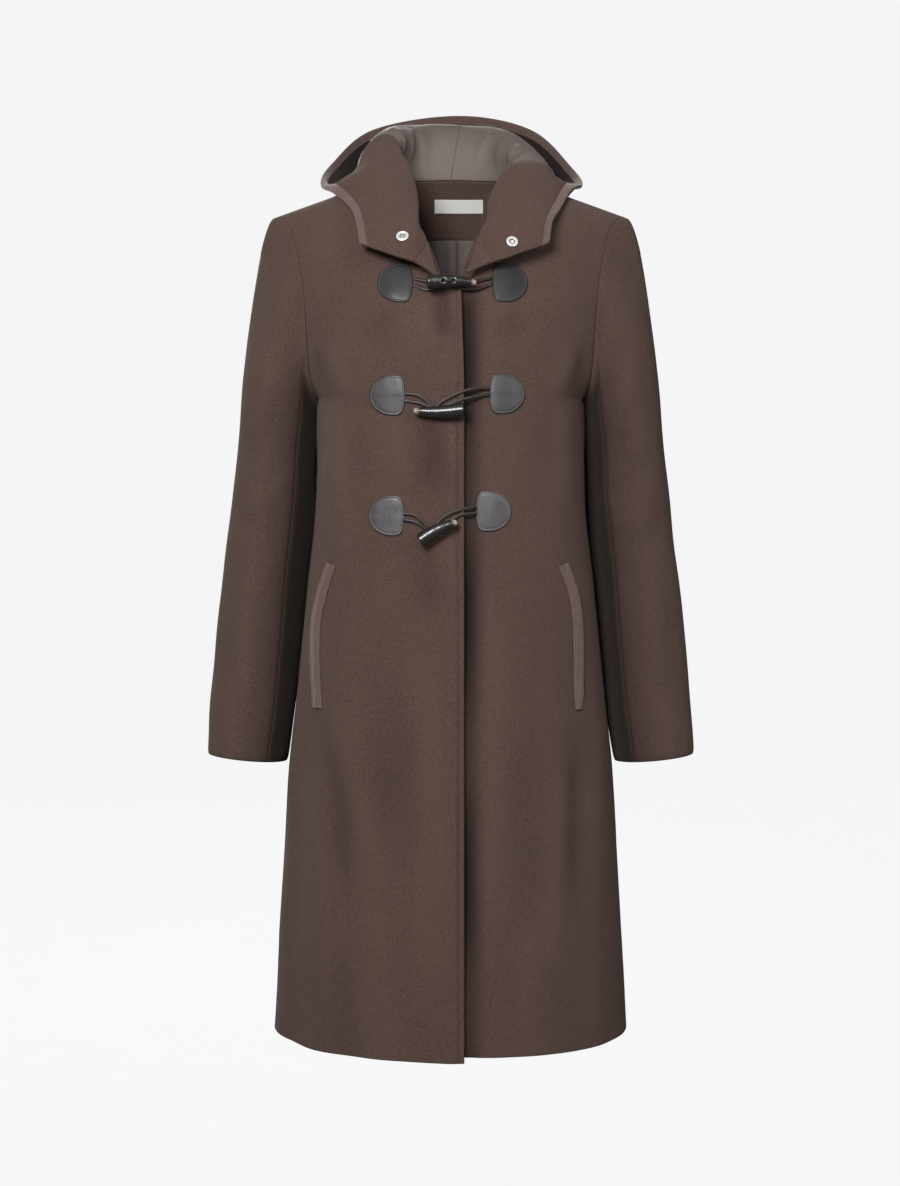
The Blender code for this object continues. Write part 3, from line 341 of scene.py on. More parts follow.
# Soft creases of the hood's lining, in grid rows and columns, with their half width in rows
LINING_CREASES = (
    # row0, col0, row1, col1, half, depth
    (9.5, 1.0, 10.6, 5.4, 0.32, 2.4),
    (10.8, 0.6, 11.6, 4.2, 0.30, 1.8),
    (12.4, 0.4, 12.0, 3.6, 0.34, 1.6),
    (15.4, 0.4, 16.2, 4.6, 0.36, 2.0),
    (17.2, 0.6, 17.0, 3.4, 0.30, 1.6),
    (18.6, 0.8, 18.0, 5.2, 0.34, 2.4),
    (19.8, 1.2, 19.0, 5.8, 0.26, 1.8),
    (9.0, 4.6, 12.0, 5.6, 0.40, 1.2),
    (16.0, 5.0, 19.0, 5.4, 0.40, 1.2),
    (8.2, 6.2, 9.4, 9.4, 0.34, 1.8),
    (20.4, 6.0, 19.4, 9.2, 0.34, 1.8),
)
HOOD_CREASES = (
    # row0, col0, row1, col1, half, depth
    (10.0, 10.4, 12.6, 13.2, 0.45, -1.6),
    (12.8, 10.3, 13.2, 13.0, 0.35, -1.2),
    (15.2, 10.3, 14.8, 13.0, 0.35, -1.2),
    (18.0, 10.4, 15.8, 13.2, 0.45, -1.6),
)


def level_slopes(knots, values):
    """Slopes that keep a table's curve from swinging past its own rows."""
    gaps = np.diff(knots).reshape((-1,) + (1,) * (values.ndim - 1))
    steps = np.diff(values, axis=0) / gaps
    before, after = steps[:-1], steps[1:]
    same_way = before * after > 0
    safe_before, safe_after = np.where(same_way, before, 1), np.where(same_way, after, 1)
    inner = np.where(same_way, 2 / (1 / safe_before + 1 / safe_after), 0)
    return np.concatenate([steps[:1], inner, steps[-1:]])


def hermite(v, start, leave, stop, arrive):
    """A cubic from start to stop that sets out along leave and comes in along arrive."""
    return (
        (2 * v**3 - 3 * v**2 + 1) * start
        + (v**3 - 2 * v**2 + v) * leave
        + (3 * v**2 - 2 * v**3) * stop
        + (v**3 - v**2) * arrive
    )


def interpolate(knots, values, at, slopes_of=level_slopes):
    """A smooth curve through values at knots, read at the given places. Values may be vectors."""
    knots = np.asarray(knots, float)
    values = np.asarray(values, float)
    at = np.clip(np.asarray(at, float), knots[0], knots[-1])
    slopes = slopes_of(knots, values)
    left = np.clip(np.searchsorted(knots, at, side="right") - 1, 0, len(knots) - 2)
    right = left + 1
    span = knots[right] - knots[left]
    v = (at - knots[left]) / span
    if values.ndim > 1:
        span = span[..., None]
        v = v[..., None]
    return hermite(v, values[left], span * slopes[left], values[right], span * slopes[right])


def bell(offset, width):
    """1 where the offset is 0, fading to nothing at about twice the width."""
    return np.exp(-((offset / width) ** 2))


def smooth_step(value):
    """0 below 0 and 1 above 1, with an even passage between."""
    value = np.clip(value, 0, 1)
    return value * value * (3 - 2 * value)


def run_length(points, axis=0, power=1.0):
    """Length along the lines of a grid, from their first point to each."""
    steps = np.linalg.norm(np.diff(points, axis=axis), axis=-1) ** power
    start = np.zeros_like(np.take(steps, [0], axis=axis))
    return np.concatenate([start, np.cumsum(steps, axis=axis)], axis=axis)


def read_along(at, length, path):
    """Points of a path at the given lengths."""
    return np.stack([np.interp(at, length, part) for part in path.T], axis=-1)


def bisect(high, too_far):
    """The highest value from 0 to high that is not yet too far."""
    low = 0.0
    for _ in range(BISECT_ROUNDS):
        middle = (low + high) / 2
        if too_far(middle):
            high = middle
        else:
            low = middle
    return low


def curve_slopes(knots, values):
    """Slopes of a curve that runs smoothly through its values."""
    return np.gradient(values, knots, axis=0)


def unit(vectors):
    return vectors / np.maximum(np.linalg.norm(vectors, axis=-1, keepdims=True), 1e-12)


def ring_point(face, u, z):
    """Point of the body's outline at height z. u runs from 0 in the middle to +-1 at the side seams."""
    table = np.array(RINGS)
    ring = interpolate(table[:, 0] * MM, table[:, 1:], z)
    width, front, back, square, middle_y = np.moveaxis(ring, -1, 0)
    depth = (front if face == FRONT else back) * MM
    width = width * MM
    turn = u * math.pi / 2
    across, along = np.sin(turn), np.cos(turn)
    radius = ((np.abs(across) / width) ** square + (np.abs(along) / depth) ** square) ** (-1 / square)
    for fold_face, middle, half, top_z, fold_depth in FOLDS:
        if fold_face == face:
            grown = np.clip((top_z * MM - z) / FOLD_GROWTH, 0, 1)
            radius = radius + fold_depth * MM * grown * bell(u - middle, half)
    return np.stack([radius * across, face * radius * along + middle_y * MM, z], axis=-1)


def torso(face, u, t):
    """Outer face of the body. t runs from 0 at the hem over 1 at the chest to 2 at neck and shoulder."""
    u, t = np.broadcast_arrays(np.asarray(u, float), np.asarray(t, float))
    low = ring_point(face, u, HEM_Z + np.minimum(t, 1) * (CHEST_Z - HEM_Z))
    top_table = np.array(FRONT_TOP if face == FRONT else BACK_TOP)
    top = interpolate(top_table[:, 0], top_table[:, 1:] * MM, np.abs(u))
    side = np.where(u < 0, -1.0, 1.0)
    end, run = top[..., :3].copy(), top[..., 3:].copy()
    end[..., 0] *= side
    run[..., 0] *= side
    start = ring_point(face, u, np.full(u.shape, CHEST_Z))
    flare = side * CHEST_FLARE * np.clip((np.abs(u) - 0.45) / 0.4, 0, 1) ** 1.5
    rise = CHEST_RISE * (end[..., 2] - start[..., 2])
    leave = np.stack([flare, np.zeros_like(u), rise], axis=-1)
    high = hermite(np.clip(t - 1, 0, 1)[..., None], start, leave, end, run)
    return np.where(t[..., None] <= 1, low, high)


def torso_normal(face, u, t):
    """Outward direction of the body's face."""
    step = 1e-3
    u, t = np.broadcast_arrays(np.asarray(u, float), np.asarray(t, float))
    t = np.clip(t, step, 2 - step)
    across = torso(face, u + step, t) - torso(face, u - step, t)
    upward = torso(face, u, t + step) - torso(face, u, t - step)
    return unit(np.cross(across, upward)) * (-1 if face == BACK else 1)


def onward_way(face, u):
    """The way the body's cloth would run on past its top edge."""
    step = 0.01
    along = torso(face, u + step, 2.0) - torso(face, u - step, 2.0)
    way = unit(np.cross(along, torso_normal(face, u, 2.0)))
    upward = torso(face, u, 2.0) - torso(face, u, 1.9)
    return way * np.sign((way * upward).sum(axis=-1, keepdims=True))


def front_point(side, u, t):
    """Outer face of one front. The left front sinks under the right one where they lap."""
    point = torso(FRONT, u, t)
    if side == LEFT:
        covered = np.clip((LAP_RIGHT_X + LAP_BLEND - point[..., 0]) / LAP_BLEND, 0, 1)
        return point - torso_normal(FRONT, u, t) * (LAP_DEPTH * covered**2)[..., None]
    dip = LAP_HEM_DIP * np.clip(1 - np.abs(u), 0, 1) ** 2 * np.clip(1 - 8 * t, 0, 1)
    return point - np.stack([0 * dip, 0 * dip, dip], axis=-1)


def armhole_u(face, t):
    """Where the armhole's edge lies round the body at each height above the chest."""
    height = np.clip(np.asarray(t, float) - 1, 0, 1)
    deepest = ARMHOLE_LOW_ROUND / (ARMHOLE_LOW_ROUND + ARMHOLE_HIGH_ROUND)

    def scoop(h):
        return h**ARMHOLE_LOW_ROUND * (1 - h) ** ARMHOLE_HIGH_ROUND

    return 1 - ARMHOLE_INSET[face] * scoop(height) / scoop(deepest)


def short_diagonals(points):
    """Which squares of a grid are better split from their second corner."""
    first = np.linalg.norm(points[:-1, :-1] - points[1:, 1:], axis=-1)
    second = np.linalg.norm(points[:-1, 1:] - points[1:, :-1], axis=-1)
    return second < first


def grid_normals(points, split):
    """Direction of the surface at each grid point: the mean of its triangles, weighted by angle."""
    place = np.indices(split.shape)
    total = np.zeros(points.shape)
    corners = np.array([(0, 0), (0, 1), (1, 1), (1, 0)])
    for turned in (False, True):
        i, j = place[:, split == turned]
        order = np.roll(corners, -1, axis=0) if turned else corners
        for three in (order[:3], order[[2, 3, 0]]):
            index = [(i + down, j + right) for down, right in three]
            spots = [points[k] for k in index]
            face_way = unit(np.cross(spots[2] - spots[0], spots[1] - spots[0]))
            for k in range(3):
                one, other = unit(spots[k - 1] - spots[k]), unit(spots[k - 2] - spots[k])
                angle = np.arccos(np.clip((one * other).sum(axis=-1), -1, 1))
                np.add.at(total, index[k], face_way * angle[:, None])
    return unit(total)


def t_at_height(z):
    """t at which the middle of the back reaches height z."""
    return bisect(2.0, lambda t: torso(BACK, 0.0, t)[2] > z)


def edge_position(edge_x, t):
    """u of the front edge, which stays at edge_x from the hem to the throat."""
    return bisect(0.6, lambda u: torso(FRONT, u, min(t, 1.0))[0] >= abs(edge_x))


def armhole_loop(share):
    """Left armhole from the shoulder tip down the front and up the back: points, and the way the body's
    cloth would run on past each."""
    fine = np.linspace(0, 1, 321) ** 1.8
    down, up = 1 + fine[::-1], 1 + fine[1:]
    front_u, back_u = armhole_u(FRONT, down), armhole_u(BACK, up)
    path = np.concatenate([torso(FRONT, front_u, down), torso(BACK, back_u, up)])
    normal = np.concatenate([torso_normal(FRONT, front_u, down), torso_normal(BACK, back_u, up)])
    onward = unit(np.cross(normal, np.gradient(path, axis=0)))
    length = run_length(path)
    both = read_along(np.mod(share, 1) * length[-1], length, np.concatenate([path, onward], axis=1))
    return both[..., :3], both[..., 3:]


def sleeve_ring(turn, s):
    """Point of the left sleeve below the armhole. turn 0 is outermost, a quarter is in front."""
    table = np.array(SLEEVE_RINGS) * MM
    row = interpolate(np.arange(len(table)), table, s)
    outer_x, outer_z, inner_x, inner_z, half_depth, centre_y = np.moveaxis(row, -1, 0)
    angle = turn * 2 * math.pi
    x = (outer_x + inner_x) / 2 + (outer_x - inner_x) / 2 * np.cos(angle)
    z = (outer_z + inner_z) / 2 + (outer_z - inner_z) / 2 * np.cos(angle)
    return np.stack([x, centre_y - half_depth * np.sin(angle), z], axis=-1)


def sleeve(turn, v):
    """The left sleeve: v from 0 at the armhole to 1 at the first ring, then one ring for each unit."""
    turn, v = np.broadcast_arrays(np.asarray(turn, float), np.asarray(v, float))
    start, body_way = armhole_loop(turn)
    end = sleeve_ring(turn, np.zeros_like(turn))
    onward = (sleeve_ring(turn, np.full_like(turn, 0.1)) - end) / 0.1
    reach = np.linalg.norm(end - start, axis=-1, keepdims=True)
    angle = turn * 2 * math.pi
    high = ((1 + np.cos(angle)) / 2)[..., None]
    arm_way = np.stack([1 + 0 * angle, -0.3 * np.sin(angle), -0.25 + 0 * angle], axis=-1)
    outward = unit(high * body_way + (1 - high) * arm_way) * reach * CAP_FULLNESS
    onward = unit(onward) * reach * CAP_LANDING
    cap = hermite(np.clip(v, 0, 1)[..., None], start, outward, end, onward)
    return np.where(v[..., None] <= 1, cap, sleeve_ring(turn, np.maximum(v - 1, 0)))


def sleeve_normal(turn, v):
    """Outward direction of the left sleeve's face."""
    step = 2e-3
    last = len(SLEEVE_RINGS)
    v = np.clip(v, step, last - step)
    around = sleeve(np.mod(turn + step, 1), v) - sleeve(np.mod(turn - step, 1), v)
    along = sleeve(np.mod(turn, 1), v + step) - sleeve(np.mod(turn, 1), v - step)
    return unit(np.cross(around, along))


def neck_seam(place):
    """Where the hood's middle layer meets the neckline: a point, or just past the body's top edge at u."""
    if len(place) == 3:
        return np.array(place) * MM
    face, u = place
    edge = torso(face, u, 2.0) - torso_normal(face, u, 2.0) * WOOL_WALL / 2
    return edge + onward_way(face, u) * NECK_SEAM_RISE


@functools.lru_cache(maxsize=1)
def hood_table():
    """The hood's sections, each as one row with the x, y and z of its points."""
    return np.array([
        np.concatenate([neck_seam(neck), *np.array(rest) * MM]) for neck, *rest in HOOD_SECTIONS
    ])


def hood_row(a, columns=None):
    """Points of the hood's middle layer at section a, from the neck seam to the face opening.

    They lie at the grid's own columns, or at the given places between them.
    """
    table = hood_table()
    points = interpolate(np.arange(len(table)), table, a, curve_slopes).reshape(-1, 3)
    knots = run_length(points, power=0.6)
    fine = np.linspace(0, knots[-1], 161)
    path = interpolate(knots, points, fine, curve_slopes)
    length = run_length(path)
    marks = np.interp(knots, fine, length)
    marks[-1] -= BINDING_WIDTH
    stops = [low + (high - low) * np.array(part) for low, high, part in zip(marks, marks[1:], HOOD_STOPS)]
    stops = np.concatenate([[0], *stops, [length[-1]]])
    if columns is not None:
        stops = np.interp(columns, np.arange(len(stops)), stops)
    return read_along(stops, length, path)


def hood_grid():
    """Points of the hood's middle layer with the directions of its lining side, from section to section.

    The last column is the face opening, the one before it the inner edge of the binding.
    """
    sections = np.linspace(0, len(HOOD_SECTIONS) - 1, HOOD_ROWS)
    points = np.array([hood_row(a) for a in sections])
    depth = WOOL_WALL + SEAM_GAP + BINDING_PROUD
    for _ in range(CLEARING_ROUNDS):
        normals = grid_normals(points, short_diagonals(points))
        points = clear_of_body(clear_of_neckline(points, depth), normals, depth)
    return points, grid_normals(points, short_diagonals(points))


def clear_of_neckline(points, depth):
    """The points moved away from the raw top edge of fronts and back, that they turn over."""
    u = np.linspace(-NECKLINE_U, NECKLINE_U, 241)
    edge = [torso(face, u, 2.0) - torso_normal(face, u, 2.0) * WOOL_WALL / 2 for face in (FRONT, BACK)]
    edge = np.concatenate(edge)
    reach = WOOL_WALL * 0.6 + depth + NECKLINE_CLEARANCE
    away = points[..., None, :] - edge
    distance = np.linalg.norm(away, axis=-1)
    nearest = distance.argmin(axis=-1)[..., None]
    distance = np.take_along_axis(distance, nearest, axis=-1)
    away = np.take_along_axis(away, nearest[..., None], axis=-2)[..., 0, :]
    shift = np.maximum(reach - distance, 0)
    shift[:, 0] = 0
    return points + unit(away) * shift


def clear_of_body(points, normals, depth):
    """The points raised off shoulders and chest wherever their underside, depth below, would reach in."""
    u, t = np.meshgrid(np.linspace(-1, 1, 81), np.linspace(1.2, 2, 50))
    samples = np.concatenate([torso(face, u, t).reshape(-1, 3) for face in (FRONT, BACK)])
    ways = np.concatenate([torso_normal(face, u, t).reshape(-1, 3) for face in (FRONT, BACK)])
    in_neck = np.tile(((t > 1.98) & (np.abs(u) < NECKLINE_U)).reshape(-1), 2)
    raised = points.copy()
    for index in np.ndindex(points.shape[:2]):
        under = points[index] - normals[index] * depth
        nearest = np.argmin(((samples - under) ** 2).sum(axis=1))
        height = (under - samples[nearest]) @ ways[nearest]
        on_body = index[1] > 3 or height > -BODY_CLEARANCE * 3
        if on_body and not in_neck[nearest] and height < BODY_CLEARANCE:
            raised[index] += ways[nearest] * (BODY_CLEARANCE - height)
    return raised


def locate(surface, x, z):
    """u and t at which a face of the body reaches x and z, by Newton's method."""
    x, z = np.broadcast_arrays(np.asarray(x, float), np.asarray(z, float))
    u, t = x / 0.21, np.where(z < CHEST_Z, (z - HEM_Z) / (CHEST_Z - HEM_Z), 1 + (z - CHEST_Z) / 0.27)
    step = 1e-4
    for _ in range(14):
        here = surface(u, t)
        by_u, by_t = (surface(u + step, t) - here) / step, (surface(u, t + step) - here) / step
        miss_x, miss_z = x - here[..., 0], z - here[..., 2]
        area = by_u[..., 0] * by_t[..., 2] - by_u[..., 2] * by_t[..., 0]
        u = u + np.clip((miss_x * by_t[..., 2] - miss_z * by_t[..., 0]) / area, -0.1, 0.1)
        t = t + np.clip((miss_z * by_u[..., 0] - miss_x * by_u[..., 2]) / area, -0.1, 0.1)
    return u, t


def unevenness(points, reach, seed):
    """Slow waves over the cloth, between about -1 and 1, roughly reach metres from crest to crest."""
    rng = np.random.default_rng(seed)
    total = np.zeros(points.shape[:-1])
    for _ in range(7):
        way = unit(rng.normal(size=3))
        wave = 2 * math.pi / reach * rng.uniform(0.7, 1.5)
        total += np.sin(points @ way * wave + rng.uniform(0, 6.28))
    return total / 3.5


def creases(across, down, table, open_end=None):
    """Height of the soft ridges and troughs of a table at places across and down, in its own units.

    A crease that ends beyond open_end runs out over the edge of the cloth there.
    """
    height = np.zeros(np.shape(across))
    for x0, z0, x1, z1, bend, width, depth in table:
        run = math.hypot(x1 - x0, z1 - z0)
        way_x, way_z = (x1 - x0) / run, (z1 - z0) / run
        along = ((across - x0) * way_x + (down - z0) * way_z) / run
        off = (across - x0) * way_z - (down - z0) * way_x - bend * 4 * along * (1 - along)
        fade = smooth_step(along / 0.3)
        if open_end is None or abs(z1) < open_end:
            fade = fade * smooth_step((1 - along) / 0.4)
        height += depth * fade * bell(off, width * (0.7 + 0.6 * np.clip(along, 0, 1)))
    return height * MM


def body_relief(face, u, t, point):
    """How far the creased cloth of the body stands off its plain form. It is calm along its seams."""
    table = FRONT_CREASES if face == FRONT else BACK_CREASES
    near = smooth_step((t - 0.86) / 0.13)
    edge = np.where(t > 1, armhole_u(face, t), 1 - (1 - armhole_u(face, 2 - t)) * near)
    calm = smooth_step((edge - np.abs(u)) / 0.07) * smooth_step((2 - t) / 0.10)
    height = creases(point[..., 0] / MM, point[..., 2] / MM, table, open_end=OPEN_HEM)
    height = height * bpy.context.scene.coat_sizes.crease_depth
    uneven = unevenness(point, 0.085, 3) * 0.6 * MM + unevenness(point, 0.030, 4) * 0.14 * MM
    below = BODY_UNDERARM_Z - point[..., 2]
    side = smooth_step((np.abs(u) - 0.86) / 0.12) * smooth_step(below / 0.009)
    side = side * smooth_step((0.085 - below) / 0.05)
    return calm * (height + uneven) + UNDERARM_PUFF * side


def body_painted_shade(u, point, relief):
    """Painted shade and painted light: darker in troughs, lighter on ridges, and darker at the sides under
    the sleeves.
    """
    down = -point[..., 2]
    sides = smooth_step((np.abs(u) - 0.84) / 0.14) * smooth_step((down - 0.21) / 0.05)
    sides = sides * smooth_step((0.80 - down) / 0.10)
    return np.clip(relief / MM / 14, -0.34, 0.12) - 0.75 * sides


def spread(count, length, first=0.0, last=1.0):
    """Shares from first to last, with closer lines at both ends for a turned edge."""
    inset = TURN_IN / length
    edge = np.array(EDGE_LINES) * inset
    even = np.linspace(first + inset, last - inset, count)
    return np.concatenate([first + edge, even[1:-1], last - edge[::-1]])


def rim_distance(points, cells):
    """How far each grid point lies from the rim of the covered cells, and how many of them it touches."""
    rows, columns = points.shape[:2]
    count = np.zeros((rows, columns))
    for i, j in CELL_CORNERS:
        count[i : rows - 1 + i, j : columns - 1 + j] += cells
    distance = np.where(count == 4, 1.0, 0.0)
    down = np.linalg.norm(np.diff(points, axis=0), axis=-1)
    right = np.linalg.norm(np.diff(points, axis=1), axis=-1)
    for _ in range(7):
        distance[1:] = np.minimum(distance[1:], distance[:-1] + down)
        distance[:-1] = np.minimum(distance[:-1], distance[1:] + down)
        distance[:, 1:] = np.minimum(distance[:, 1:], distance[:, :-1] + right)
        distance[:, :-1] = np.minimum(distance[:, :-1], distance[:, 1:] + right)
    return distance, count


def cloth(name, outer, outward, wall, finish, node, *, edge_round, cells=None, fold_shade=None):
    """A piece of cloth with a wall and softly turned edges, from a grid of points on its outer face.

    cells marks the squares of the grid that the piece covers. The painted shade it is given is below 0 where
    it is darker and above 0 where it is lighter.
    """
    rows, columns = outer.shape[:2]
    cells = np.ones((rows - 1, columns - 1), bool) if cells is None else cells
    centres = (outer[:-1, :-1] + outer[1:, :-1] + outer[:-1, 1:] + outer[1:, 1:]) / 4
    total = np.zeros(outer.shape)
    for i, j in CELL_CORNERS:
        total[i : rows - 1 + i, j : columns - 1 + j] += np.where(cells[..., None], centres, 0)
    distance, count = rim_distance(outer, cells)
    inward = unit(total / np.maximum(count, 1)[..., None] - outer)
    at_rim = (count > 0) & (count < 4)
    outer = outer + inward * (at_rim * SEAM_PULL)[..., None]
    inset = np.clip(edge_round - distance, 0, edge_round)
    drop = edge_round - np.sqrt(np.maximum(edge_round**2 - inset**2, 0))
    drop = np.minimum(drop, wall * 0.49)[..., None]
    top = outer - outward * drop
    under = outer - outward * (wall - 0.4 * drop)
    used = count > 0
    size = used.sum()
    index = np.full((rows, columns), -1)
    index[used] = np.arange(size)
    i, j = np.nonzero(cells)
    corners = np.stack([index[i, j], index[i, j + 1], index[i + 1, j + 1], index[i + 1, j]], axis=-1)
    faces = [corners, corners[:, ::-1] + size]
    padded = np.pad(cells, 1)
    for k, (di, dj) in enumerate(((-1, 0), (0, 1), (1, 0), (0, -1))):
        at_edge = ~padded[1 + di : rows + di, 1 + dj : columns + dj][cells]
        one, two = corners[at_edge, k], corners[at_edge, (k + 1) % 4]
        faces.append(np.stack([two, one, one + size, two + size], axis=-1))
    points = np.concatenate([top[used], under[used]])
    lie = np.stack([run_length(outer, 1)[used], run_length(outer)[used]], axis=-1)
    obj = solid(name, points, np.concatenate(faces).tolist(), finish, np.concatenate([lie, lie]))
    if fold_shade is not None:
        set_painted_shade(obj, np.tile(fold_shade[used], 2))
    face_way = np.cross(top[i, j + 1] - top[i, j], top[i + 1, j] - top[i, j])
    if (face_way * outward[i, j]).sum() < 0:
        obj.data.flip_normals()
    attach(obj, node)


def link_object(name, data):
    """A new object of the scene."""
    obj = bpy.data.objects.new(name, data)
    bpy.context.scene.collection.objects.link(obj)
    return obj


def solid(name, points, faces, finish, lie=None):
    """An object from points and faces, with a UV map that tells where each point lies on the flat cloth."""
    mesh = bpy.data.meshes.new(name)
    mesh.from_pydata(np.asarray(points).tolist(), [], faces)
    mesh.update()
    mesh.shade_smooth()
    if lie is not None:
        layer = mesh.uv_layers.new(name="UVMap")
        corner = np.empty(len(mesh.loops), int)
        mesh.loops.foreach_get("vertex_index", corner)
        layer.data.foreach_set("uv", np.asarray(lie, np.float32)[corner].ravel())
    mesh.materials.append(finish_of(finish))
    return link_object(name, mesh)


def tube(name, rings, finish, lie=None, peak=None):
    """A closed form through rings of points. Its last ring is closed flat, or by a fan up to a peak."""
    count, size = rings.shape[:2]
    index = np.arange(count * size).reshape(count, size)
    ahead = np.roll(index, -1, axis=1)
    faces = np.stack([index[:-1], ahead[:-1], ahead[1:], index[1:]], axis=-1).reshape(-1, 4).tolist()
    points = rings.reshape(-1, 3)
    if peak is not None:
        points = np.concatenate([points, peak])
        faces += [[index[-1, k], ahead[-1, k], count * size] for k in range(size)]
    faces.append(index[0].tolist()[::-1])
    if peak is None:
        faces.append(index[-1].tolist())
    obj = solid(name, points, faces, finish, lie)
    shape = bmesh.new()
    shape.from_mesh(obj.data)
    bmesh.ops.recalc_face_normals(shape, faces=shape.faces)
    shape.to_mesh(obj.data)
    shape.free()
    return obj


def laid_flat(across, along):
    """Flat places of a tube's points: across for each point of a ring, along for each ring."""
    return np.stack(np.meshgrid(across, along), axis=-1).reshape(-1, 2)


def set_painted_shade(obj, values):
    """Stores painted shade and painted light for the finish: below 0 darker, above 0 lighter."""
    layer = obj.data.attributes.new("fold_shade", "FLOAT", "POINT")
    layer.data.foreach_set("value", np.asarray(values, np.float32))


def attach(obj, node):
    """Makes a piece ride on the coat, and stand for its solid if it has one."""
    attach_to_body(obj, BODY)
    if node:
        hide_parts(node)


def run_on(points, face, u, t, share):
    """The body's cloth run on past its top edge into the seam above, as far as share says."""
    reach = smooth_step((t - 1.965) / 0.035) * TOP_REACH * share
    return points + onward_way(face, u) * reach[..., None]


def body_lines():
    """t of the rows of body cloth, from hem to neck."""
    cell = bpy.context.scene.coat_sizes.cloth_cell
    low = spread(int(0.722 / cell), 0.722)
    high = 1 + np.linspace(0, 1, int(0.34 / cell))[1:] ** 1.5
    edge = 2 - np.array(EDGE_LINES[::-1]) * 0.006
    return np.unique(np.round(np.concatenate([low[low < 0.995], [1.0], high[:-1], edge]), 6))


def make_fronts():
    """The two fronts, with painted shade in their troughs and painted light on their ridges. The left one
    sinks under the edge of the right one and carries a painted shadow beside it.
    """
    rows = body_lines()
    outer_u = np.where(rows > 1, armhole_u(FRONT, rows), 1.0)
    share = spread(int(0.29 / bpy.context.scene.coat_sizes.cloth_cell), 0.29)
    share = np.unique(np.concatenate([share, np.arange(2.4, 10, 0.7) * MM / 0.32]))
    t = np.repeat(rows[:, None], len(share), axis=1)
    for side, edge_x in ((RIGHT, LAP_RIGHT_X), (LEFT, LAP_LEFT_X)):
        name = SIDE_NAMES[side]
        edge_u = -np.array([edge_position(edge_x, row) for row in rows])
        u = (edge_u[:, None] + (outer_u - edge_u)[:, None] * share) * side
        plain, normals = front_point(side, u, t), torso_normal(FRONT, u, t)
        relief = body_relief(FRONT, u, t, plain)
        fold = body_painted_shade(u, plain, relief)
        x, z = plain[..., 0], plain[..., 2]
        if side == LEFT:
            under_lap = (x - LAP_RIGHT_X) / MM
            fall = smooth_step((-0.118 - z) / 0.03) * (0.8 + 0.2 * np.sin(z / 0.045))
            relief = relief - 3.2 * MM * fall * bell(under_lap - 7, 10) * smooth_step((2 - t) / 0.10)
            # Painted shadow on the left front beside the right front's edge
            fold = fold - 1.05 * fall * smooth_step((27 - under_lap) / 25)
        else:
            relief = relief + 0.9 * MM * bell((edge_x - x) / MM, 9) * smooth_step((2 - t) / 0.2)
        points = plain + normals * relief[..., None]
        edge = run_length(points, 1)
        groove = 0.9 * MM * bell(edge - FRONT_STITCH, 1.1 * MM) - 0.5 * MM * bell(edge - 3.6 * MM, 2.0 * MM)
        # Painted shade along the topstitch groove
        fold = fold - 0.5 * bell(edge - FRONT_STITCH, 1.0 * MM)
        points = run_on(points - normals * groove[..., None], FRONT, u, t, np.abs(u) > 0.16)
        cloth(
            f"{name}_front_cloth", points, normals, WOOL_WALL, "wool", f"front_{name}",
            edge_round=1.4 * MM, fold_shade=fold,
        )
        line = np.array([read_along(FRONT_STITCH, cut, row) for row, cut in zip(points, edge)])
        sew(f"{name}_front_stitches", [(line + normals[:, 4] * STITCH_HEIGHT)[2:-6]], "thread")


def make_back():
    """The back, in one piece."""
    rows = body_lines()
    edge = np.where(rows > 1, armhole_u(BACK, rows), 1.0)
    share = spread(int(0.50 / bpy.context.scene.coat_sizes.cloth_cell), 0.50)
    u = edge[:, None] * (2 * share - 1)
    t = np.repeat(rows[:, None], len(share), axis=1)
    plain, normals = torso(BACK, u, t), torso_normal(BACK, u, t)
    relief = body_relief(BACK, u, t, plain)
    points = plain + normals * relief[..., None]
    points = run_on(points, BACK, u, t, smooth_step((SIDE_NECK_U - np.abs(u)) / 0.02))
    cloth(
        "back_cloth", points, normals, WOOL_WALL, "wool", "back",
        edge_round=1.4 * MM, fold_shade=body_painted_shade(u, plain, relief),
    )


def make_neck_facing():
    u, t = np.meshgrid(
        (2 * spread(70, 0.30) - 1) * SIDE_NECK_U * 0.985,
        spread(22, 0.09, t_at_height(BACK_FACING_LOW_Z), 2.0),
    )
    plain, normals = torso(BACK, u, t), torso_normal(BACK, u, t)
    height = (unevenness(plain, 0.05, 8) - 1.2) * 0.35 * MM - WOOL_WALL - SEAM_GAP
    height = height + np.minimum(body_relief(BACK, u, t, plain), 0)
    points = plain + normals * height[..., None]
    above_seam = points[..., 2] - BACK_FACING_LOW_Z
    points = points + onward_way(BACK, u) * (smooth_step((t - 1.93) / 0.07) * 2.6 * MM)[..., None]
    inner = points - normals * FACING_WALL
    cloth("neck_facing_cloth", inner, -normals, FACING_WALL, "wool", "neck_facing", edge_round=0.7 * MM)
    stitch = [read_along(5 * MM, above_seam[:, j], inner[:, j]) for j in range(4, inner.shape[1] - 4)]
    sew("neck_facing_stitches", [np.array(stitch) - normals[5, 4:-4] * STITCH_HEIGHT], "thread")


